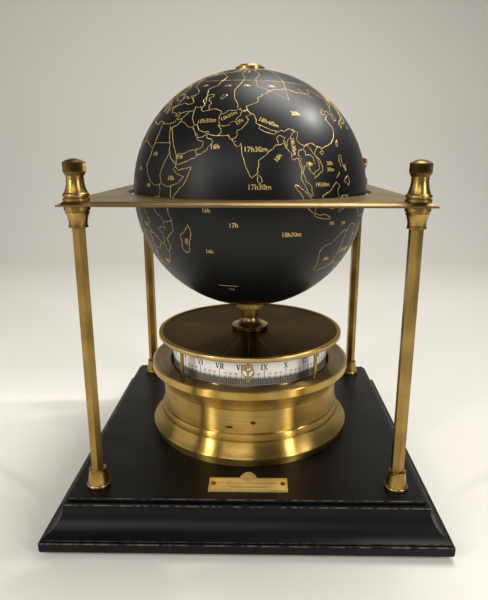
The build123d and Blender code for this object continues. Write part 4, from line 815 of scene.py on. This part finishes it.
BORDERS = (
    # Iran, Afghanistan, Pakistan
    """
48.5,30 47.7,31 46,33 45.5,35 44.8,37.2 44.5,39.5 46.5,38.9 48,39.5 48.9,38.4 /
53.9,37.3 56.5,38.1 59.5,37.5 61.2,36.6 61.2,35.3 60.6,34 60.9,31.5 61.8,30.8 60.9,29.8 62.8,28.2
62.8,27.2 63.2,26.6 61.6,25.2 /
61.2,35.3 63.5,35.8 64.8,37.2 67.8,37.2 69.5,37.5 71,38.4 71.5,37 73.3,37.4 74.8,37.3 /
60.9,29.8 64.2,29.5 66.3,30 66.7,31.3 69.3,31.9 70,33.8 71.2,34.5 71.6,36.4 74.8,37.3 /
68.2,23.7 70,24.4 70.6,25.8 70,27.4 72.3,28.4 73.8,30.2 74.6,31.2 75.3,32.6 74,34.2 76,35
77.8,35.5 76,36 74.8,37.3 /
    """,
    # along the Himalaya, Nepal, Bangladesh
    """
77.8,35.5 79.2,32.8 78.8,31.3 81.2,30.2 /
81.2,30.2 84,29 86,28 88.1,27.9 88,26.4 85.5,26.7 83,27.4 80.2,28.8 81.2,30.2 /
88.1,27.9 89,27.3 90.5,28.2 92,27.8 94.5,29.2 97.3,28.2 96,27 94.6,25.2 93.3,24 93,22 92.3,20.8 /
89,21.8 88.7,23.2 88.2,24.6 88.8,25.5 89.8,26 92.2,25.1 91.5,24 91.3,23.1 92.2,23.6 92.6,21.5 /
    """,
    # Burma, Siam, Indochina
    """
97.3,28.2 98.7,27.5 98,25.2 97.6,24 99.3,22.5 101.1,21.6 100.1,20.3 98,19.7 97.5,18.3 98.9,16.3
98.3,15.2 99.4,12.5 98.7,10.2 /
100.1,20.3 101.2,19.5 101.1,17.8 103,18.2 104.7,17 105.5,14.5 103,14.3 102.5,12.8 102.9,11.7 /
101.1,21.6 102.2,22.4 104,20.5 105,18.8 107,16.5 107.5,14.7 107.5,12.5 105.9,11.5 104.5,10.5 /
102.2,22.4 105.3,23.3 106.7,22 108,21.6 /
    """,
    # the long northern border of China, and the time zones north of it
    """
74.8,37.3 73.8,39.5 76,40.4 80.2,42.1 80.3,45 82.5,45.5 83,47.2 85.6,47.1 87.3,49.1 92,50.8
98,50.5 98.3,52.1 102.2,51.4 107,49.8 112.5,49.5 116.7,49.8 119.8,50 121,53.3 125,53 127.5,50
130.8,48.8 134.7,48.3 133,45 131,44 130.6,42.4 /
69.2,38.5 69.2,40.5 66.9,44 65.4,49.4 68.2,53.8 70.4,59.9 65.7,65.3 68,68.8 /
79.5,59 80.2,52.6 88.1,49.6 /
98.9,44 88.1,49.6 /
98.9,44 100.1,51.5 102.8,57.9 102.8,69.9 104,76 /
50.3,40.9 48.1,46.4 46.1,50.6 51.6,53.2 53.4,61.3 45,65.6 /
111.9,53.4 113.6,49.6 119.1,46.9 /
79.5,59 84,64 80,70 80.5,73 /
    """,
    # Arabia and East Africa
    """
42.8,16.4 44,17.4 46.5,17.2 48.5,18.3 52,19 55,20 55.5,22.5 52.5,23 51.4,24.3 /
52,19 53.2,16.7 /
35,29.3 37.5,30.2 39,32 42,31.2 44.8,29.2 46.6,29.1 48,28.5 /
39,32 39,33.5 42.3,37.2 44.8,37.2 /
36,36 38,36.8 42.3,37.2 /
35.8,32.7 39,33.5 /
43.2,11.6 41.8,11 42.8,10 44,9 47,8 48,8 45,5 42,4.2 39.5,3.4 36,4.4 35.3,5 34,8 35.2,12
36.3,14.3 38.4,18 /
42,4.2 41,2.8 41,-0.8 41.6,-1.9 /
39.2,-4.7 37.6,-3 33.9,-1 34,0.3 34.8,1.8 34,4.2 35.3,5 /
40.5,-10.7 37.5,-11.7 34.9,-11.5 34,-9.5 32.9,-9.3 31,-8.5 29.5,-6 29.5,-4.4 30.8,-1 33.9,-1 /
34.9,-11.5 35.5,-15 34.5,-14.3 33.2,-14 30.2,-15 30.4,-16 32.8,-17 32.8,-20 31.3,-22.3 /
32.9,-25.9 31.9,-25.5 31.3,-22.3 29.4,-22 27,-23.6 25.5,-25.7 23,-25.4 20,-24.8 20,-28.5
16.5,-28.6 /
29.4,-22 25.3,-17.8 23.5,-17.9 21,-18 21,-22 20,-22 20,-24.8 /
25,31.6 25,22 31.5,22 36.8,22 /
25,22 24,20 24,15.6 22,12.6 24,8.7 27.4,5 30.8,3.6 34,4.2 /
15.2,32.3 10,30 9.5,26 12,23.5 15,23 24,19.5 /
-8.7,27.6 -8.7,27.3 0,22 4.2,19.2 12,23.5 /
11.8,-4.6 13,-5.9 16.5,-6 19.5,-7 22,-11 24,-11 24,-13 22,-13 22,-16.2 23.5,-17.9 14,-17.4
11.8,-17.2 /
    """,
    # Europe
    """
-1.8,43.4 3.2,42.3 /
2.5,51 6,49.5 8.2,49 7.6,47.5 6.2,46.2 7.5,43.8 /
7,53.3 6.8,52 6,51.8 6.4,50.3 6,49.5 /
14.2,53.9 14.6,52 15,51 12.3,50.3 13.8,48.8 15,49 18.8,49.5 22.6,49.1 24,50.6 23.6,52 23.5,54
21,54.4 /
13.7,45.5 16.3,46.9 17.2,48 22.6,48.1 22.6,49.1 /
28.6,43.8 27,44.1 22.7,44.2 21,46 22.6,48.1 26.6,48.3 28.2,45.5 29.7,45.3 /
30,59.9 28,58 27.5,57.5 28.2,56 31,53.2 34,52 38,50 40,47.9 39.3,47.2 /
31,62.9 30,68 29,69.8 /
24,65.9 24,68.6 20.5,69.1 14.5,66 12.3,63.5 12.2,61 11.9,58.9 /
    """,
    # the Americas
    """
-141,69.6 -141,60.3 -135.5,58.8 -130,55.9 /
-123,49 -95.2,49 -89,48 -83.5,46.1 -82.4,43 -79,43.3 -75,45 -71,45.3 -69.2,47.4 -67.8,45.7
-67,44.8 /
-117.2,32.6 -111,31.3 -106.5,31.8 -101.4,29.8 -97.3,25.9 /
-92.2,14.6 -91,17.2 -89.2,17.8 -88.3,18.5 /
-77.3,8.5 -77.9,7.2 /
-71.5,11 -72.4,8 -67.5,6 -67,1.2 -69.9,-4.2 -75.2,0 -78.8,1.4 /
-60,5.2 -64,4.2 -67,1.2 /
-60,8.3 -60,5.2 -56,2 -51.6,4.2 /
-69.9,-4.2 -73.5,-7.2 -70.5,-9.5 -69.5,-11 -65.3,-10 -60.5,-13.7 -58,-19.8 -54.3,-24 -53.8,-27.2
-57.6,-30.2 -53.4,-33.7 /
-69.5,-11 -69,-17.5 -68,-21 -62.8,-22 -58,-19.8 /
-68,-21 -68.5,-25 -70,-31 -71.5,-37 -71.5,-46 -72.5,-50 -68.4,-52.3 /
-57.6,-30.2 -58.4,-34 /
    """,
    # Australia's state lines
    """
129,-31.7 129,-14.9 /
138,-16.5 138,-26 141,-26 141,-38 /
141,-29 149,-29 153.3,-28.2 /
129,-26 138,-26 /
    """,
)

# words, longitude, latitude, turn in degrees and height in mm
HOURS = """
17h30m,78.7,20.5,0,2.9 17h30m,80.1,5.4,0,2.9 15h30m,54.3,33.3,4,2.6 16h30m,65.6,35.6,30,2.2
17h,71.2,32.6,42,2.2 18h40m,85.2,32.4,-24,2.6 20h,100.5,37.1,-2,2.6 16h,60.8,21.7,2,2.7
15h,44.2,17.3,6,2 15h,40.4,8.5,0,2.4 14h,27.4,18.6,0,2.4 18h,88.2,17.1,50,2.4
18h30m,95.6,22,-86,2.2 19h,102.2,14.6,0,2 20h,113.4,14.8,0,2.2 30m,113.5,12.2,0,2.2
20h,123.5,12.9,-78,2 19h30m,108.3,6.1,0,2.2 16h,40.3,55.1,4,1.9 17h,60.1,54,2,1.9
18h,74.1,53.8,0,1.9 19h,91.8,53.5,-2,1.9 17h,69.4,-10.1,0,2.7 18h30m,94.6,-14.4,0,2.7
16h,57.8,-4.2,0,2.4 16h,57.4,-22.4,0,2.4 15h,46.4,-18.4,80,2 20h,115.3,-10.6,0,2
20h,123.5,-11,0,2 20h,119.4,-28.5,0,2.4 21h30m,134,-25,0,2.4 22h,146,-25,0,2.4 21h,140,31.5,0,2
22h,152,48,0,2 24h,175,-48.5,0,2.4 14h,25,5,0,2.4 14h,26,-30.5,0,2.4 13h,15,12,0,2.4
13h,18.5,-12.5,0,2.4 13h,10,50.8,0,1.9 12h,-5,15,0,2.4 12h,-2,46.3,0,1.9 9h,-52,-9,0,2.7
8h,-64,-16.8,0,2.4 9h,-66,-38,0,2.2 7h,-74,-3.5,0,2.2 7h,-78,41.5,0,2.4 6h,-93,40,0,2.4
5h,-107,40.5,0,2.4 4h,-119,41.5,0,2.4 2h,-152,64.5,0,2.2 6h,-100,53.5,0,2.2 8h,-63.5,52.8,0,1.9
9h,-42,71,0,2.2 17h,64.4,-45.9,0,1.8
"""


def print_globe():
    """Coasts, borders and hour labels, all in gold on the turning globe."""
    gold = gold_ink()
    coasts = [shore for text in COASTS for shore in outlines(text)]
    borders = [border for text in BORDERS for border in outlines(text)]
    print_map("globe_coast_lines", coasts, True, 0.21, 0.30, 0.11, gold)
    print_map("globe_border_lines", borders, False, 0.19, 0.22, 0.10, gold)
    # one parallel that serves as a rule under the row of northern labels, and a short one far south
    parallel = [(float(longitude), 57.6) for longitude in range(36, 145, 4)]
    south = [(longitude, -44.2) for longitude in (58.0, 64.0, 71.0)]
    print_map("globe_rules", [parallel, south], False, 0.16, 0.0, 0.08, gold)
    print_hours(gold)


# ================================================================ dial print
def box_bar(made, x, z, width, height, slant=0.0, thickness=0.05):
    """An upright bar in the X-Z plane, in mm; slant moves its upper end sideways."""
    bar = bmesh.ops.create_cube(made, size=1.0)["verts"]
    bmesh.ops.scale(made, verts=bar, vec=(width, thickness, height))
    for vertex in bar:
        vertex.co.x += slant * vertex.co.z / height
    bmesh.ops.translate(made, verts=bar, vec=(x, 0, z))


def roman_numeral(letters, height):
    """Roman numeral from thick and thin strokes with serifs, in mm, its middle at x = 0."""
    widths = {"I": 0.36, "V": 0.86, "X": 0.90}
    leans = {"V": 0.26, "X": 0.50}
    thick, thin, serif, serif_w = (part * height for part in (0.21, 0.09, 0.08, 0.32))
    made = bmesh.new()
    x = -sum(widths[letter] for letter in letters) * height / 2
    for letter in letters:
        width = widths[letter] * height
        middle = x + width / 2
        lean = leans.get(letter, 0.0) * height
        if letter == "I":
            box_bar(made, middle, height / 2, thick, height)
            feet_at = tops_at = (middle,)
        elif letter == "V":
            box_bar(made, middle - lean / 2, height / 2, thick, height, -lean)
            box_bar(made, middle + lean / 2, height / 2, thin, height, lean)
            feet_at = ()
            tops_at = (middle - lean, middle + lean)
        else:
            box_bar(made, middle, height / 2, thick, height, -lean)
            box_bar(made, middle, height / 2, thin, height, lean)
            feet_at = tops_at = (middle - lean / 2, middle + lean / 2)
        for foot in feet_at:
            box_bar(made, foot, serif / 2, serif_w, serif)
        for top in tops_at:
            box_bar(made, top, height - serif / 2, serif_w, serif)
        x += width
    return made


def wrap_on_dial(made, angle, base_z):
    """Bend flat work in mm round the dial; angle is from the front towards +X."""
    lift = 0.02
    for vertex in made.verts:
        turn = math.radians(angle) + vertex.co.x * MM / DIAL_R
        reach = DIAL_R + (lift - vertex.co.y) * MM
        vertex.co = Vector((
            reach * math.sin(turn), -reach * math.cos(turn), base_z + vertex.co.z * MM
        ))
    return made


def spin_round(made, steps):
    """Repeat the work evenly round the vertical axis."""
    bmesh.ops.spin(
        made, geom=made.faces[:], cent=(0, 0, 0), axis=(0, 0, 1),
        angle=2 * math.pi, steps=steps, use_duplicate=True,
    )


def print_dial():
    """Twice twelve Roman hours, hour lines, quarter figures and a five-minute track, in black."""
    hour_turn, ticks_to_hour = 15.0, 12
    eight_at = -4.37                        # the hour VIII, a little left of the pointer
    numerals = ("I", "II", "III", "IV", "V", "VI", "VII", "VIII", "IX", "X", "XI", "XII")
    numeral_z, numeral_h = DIAL_TOP - 7.1 * MM, 3.4
    quarter_z, quarter_h = DIAL_TOP - 9.85 * MM, 1.4
    track_z, tick_h, quarter_tick_h = DIAL_TOP - 16.0 * MM, 3.0, 4.7
    line_h = (numeral_z - track_z) / MM
    line_w, tick_w, hoop_w = 0.26, 0.42, 0.16
    whole = bmesh.new()
    for hour in range(24):
        angle = eight_at + hour_turn * (hour - 7)
        numeral = roman_numeral(numerals[hour % 12], numeral_h)
        add_to(whole, wrap_on_dial(numeral, angle, numeral_z))
        line = bmesh.new()
        box_bar(line, 0, line_h / 2, line_w, line_h)
        add_to(whole, wrap_on_dial(line, angle, track_z))
        for index, words in enumerate(("15", "30", "45"), 1):
            letters = text_mesh(words, quarter_h * MM, 0.05 * MM)
            bmesh.ops.scale(letters, verts=letters.verts[:], vec=(1 / MM, 1 / MM, 1 / MM))
            bmesh.ops.rotate(
                letters, verts=letters.verts[:], cent=(0, 0, 0),
                matrix=Matrix.Rotation(math.pi / 2, 3, "X"),
            )
            add_to(whole, wrap_on_dial(letters, angle + hour_turn / 4 * index, quarter_z))
        for index in range(1, ticks_to_hour):
            tick = bmesh.new()
            tall = tick_h if index % 3 else quarter_tick_h
            box_bar(tick, 0, tall / 2, tick_w, tall)
            at = angle + hour_turn / ticks_to_hour * index
            add_to(whole, wrap_on_dial(tick, at, track_z))
    for z in (0.0, tick_h):
        hoop = bmesh.new()
        steps = 144
        box_bar(hoop, 0, z, 2 * math.pi * DIAL_R / MM / steps, hoop_w)
        wrap_on_dial(hoop, 0, track_z)
        spin_round(hoop, steps)
        add_to(whole, hoop)
    thing = mesh_object(
        "dial_print", whole, plain_finish("black_dial_ink", "#0e0e10", "#060607", 0.5, 0.4)
    )
    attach(thing, "arbor")


# ================================================================ knurled caps
def grow_ring(made, edge, radius, height, around=0, odd=0, cut=0.0):
    """Extrude the open edge to a ring; with around set, every second vertex is cut in."""
    grown = bmesh.ops.extrude_edge_only(made, edges=edge)["geom"]
    for vertex in (v for v in grown if isinstance(v, bmesh.types.BMVert)):
        turn = math.atan2(vertex.co.y, vertex.co.x)
        place = round(turn / (2 * math.pi) * around)
        reach = radius - cut if (place + odd) % 2 else radius
        vertex.co = (reach * math.cos(turn), reach * math.sin(turn), height)
    return [e for e in grown if isinstance(e, bmesh.types.BMEdge)]


def knurled_cap():
    """A cap with a diamond knurl round the side, a chamfer below and a low dome on top."""
    around, rings, knurl = 72, 14, 0.26 * MM
    chamfer, skirt, side_h = 1.0 * MM, 1.8 * MM, 6.3 * MM
    dome_mm = ((3.6, 7.3), (2.2, 7.75), (0.8, 8.05))        # radius and height
    cap = bmesh.new()
    bmesh.ops.create_circle(cap, radius=KNOB_R - chamfer, segments=around)
    edge = grow_ring(cap, cap.edges[:], KNOB_R, skirt)
    for index in range(1, rings + 1):
        cut = knurl if index < rings else 0.0
        height = skirt + (side_h - skirt) * index / rings
        edge = grow_ring(cap, edge, KNOB_R, height, around, index, cut)
    edge = grow_ring(cap, edge, KNOB_R - 0.5 * MM, side_h + 0.25 * MM)
    for radius, height in dome_mm:
        edge = grow_ring(cap, edge, radius * MM, height * MM)
    bmesh.ops.contextual_create(cap, geom=edge)
    bmesh.ops.contextual_create(cap, geom=[e for e in cap.edges if e.is_boundary])
    bmesh.ops.recalc_face_normals(cap, faces=cap.faces[:])
    return cap


def knurled_caps():
    """One cap on each finial."""
    whole = bmesh.new()
    post_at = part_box("finial_caps")[1].x - KNOB_R
    for sign_x in (-1, 1):
        for sign_y in (-1, 1):
            cap = knurled_cap()
            place = (sign_x * post_at, sign_y * post_at, node_top("finial_front_left"))
            bmesh.ops.translate(cap, verts=cap.verts[:], vec=place)
            add_to(whole, cap)
    thing = mesh_object("knurled_caps", whole, dark_fitting_brass())
    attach(thing, "stand")
    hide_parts("finial_caps")


# ================================================================ name plate border
def nameplate_border():
    """Engraved rules, a thin frame line and two rings on the blank name plate, filled with wax."""
    low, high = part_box("nameplate")
    middle = Vector(((low.x + high.x) / 2, low.y, high.z))
    deep, ring_w, steps = 0.06 * MM, 0.16 * MM, 48
    whole = bmesh.new()
    # x and y from the middle of the front edge, length along x and along y, in mm
    for x_mm, y_mm, long_mm, wide_mm in (
        (0.0, 0.65, 42.4, 0.16),
        (0.0, 11.85, 42.4, 0.16),
        (-21.2, 6.25, 0.16, 11.36),
        (21.2, 6.25, 0.16, 11.36),
        (-0.4, 7.3, 32.7, 0.30),
        (0.0, 3.5, 19.4, 0.50),
    ):
        bar = bmesh.ops.create_cube(whole, size=1.0)["verts"]
        bmesh.ops.scale(whole, verts=bar, vec=(long_mm * MM, wide_mm * MM, deep))
        bmesh.ops.translate(whole, verts=bar, vec=middle + Vector((x_mm, y_mm, 0)) * MM)
    # two engraved rings in the arch
    arch = middle + Vector((0, 13.2, 0)) * MM
    for ring_r in (3.4 * MM, 2.1 * MM):
        ring = bmesh.new()
        bmesh.ops.create_cube(ring, size=1.0)
        chord = 2 * math.pi * ring_r / steps
        bmesh.ops.scale(ring, verts=ring.verts[:], vec=(chord, ring_w, deep))
        bmesh.ops.translate(ring, verts=ring.verts[:], vec=(0, ring_r, 0))
        spin_round(ring, steps)
        bmesh.ops.translate(ring, verts=ring.verts[:], vec=arch)
        add_to(whole, ring)
    wax = plain_finish("engraving_wax", "#2c2413", "#1a150b", 0.6, 0.3)
    thing = mesh_object("nameplate_rules", whole, wax)
    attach(thing, "stand")


make_camera()
make_lights()
make_floor()
finish_nodes()
print_globe()
print_dial()
knurled_caps()
nameplate_border()
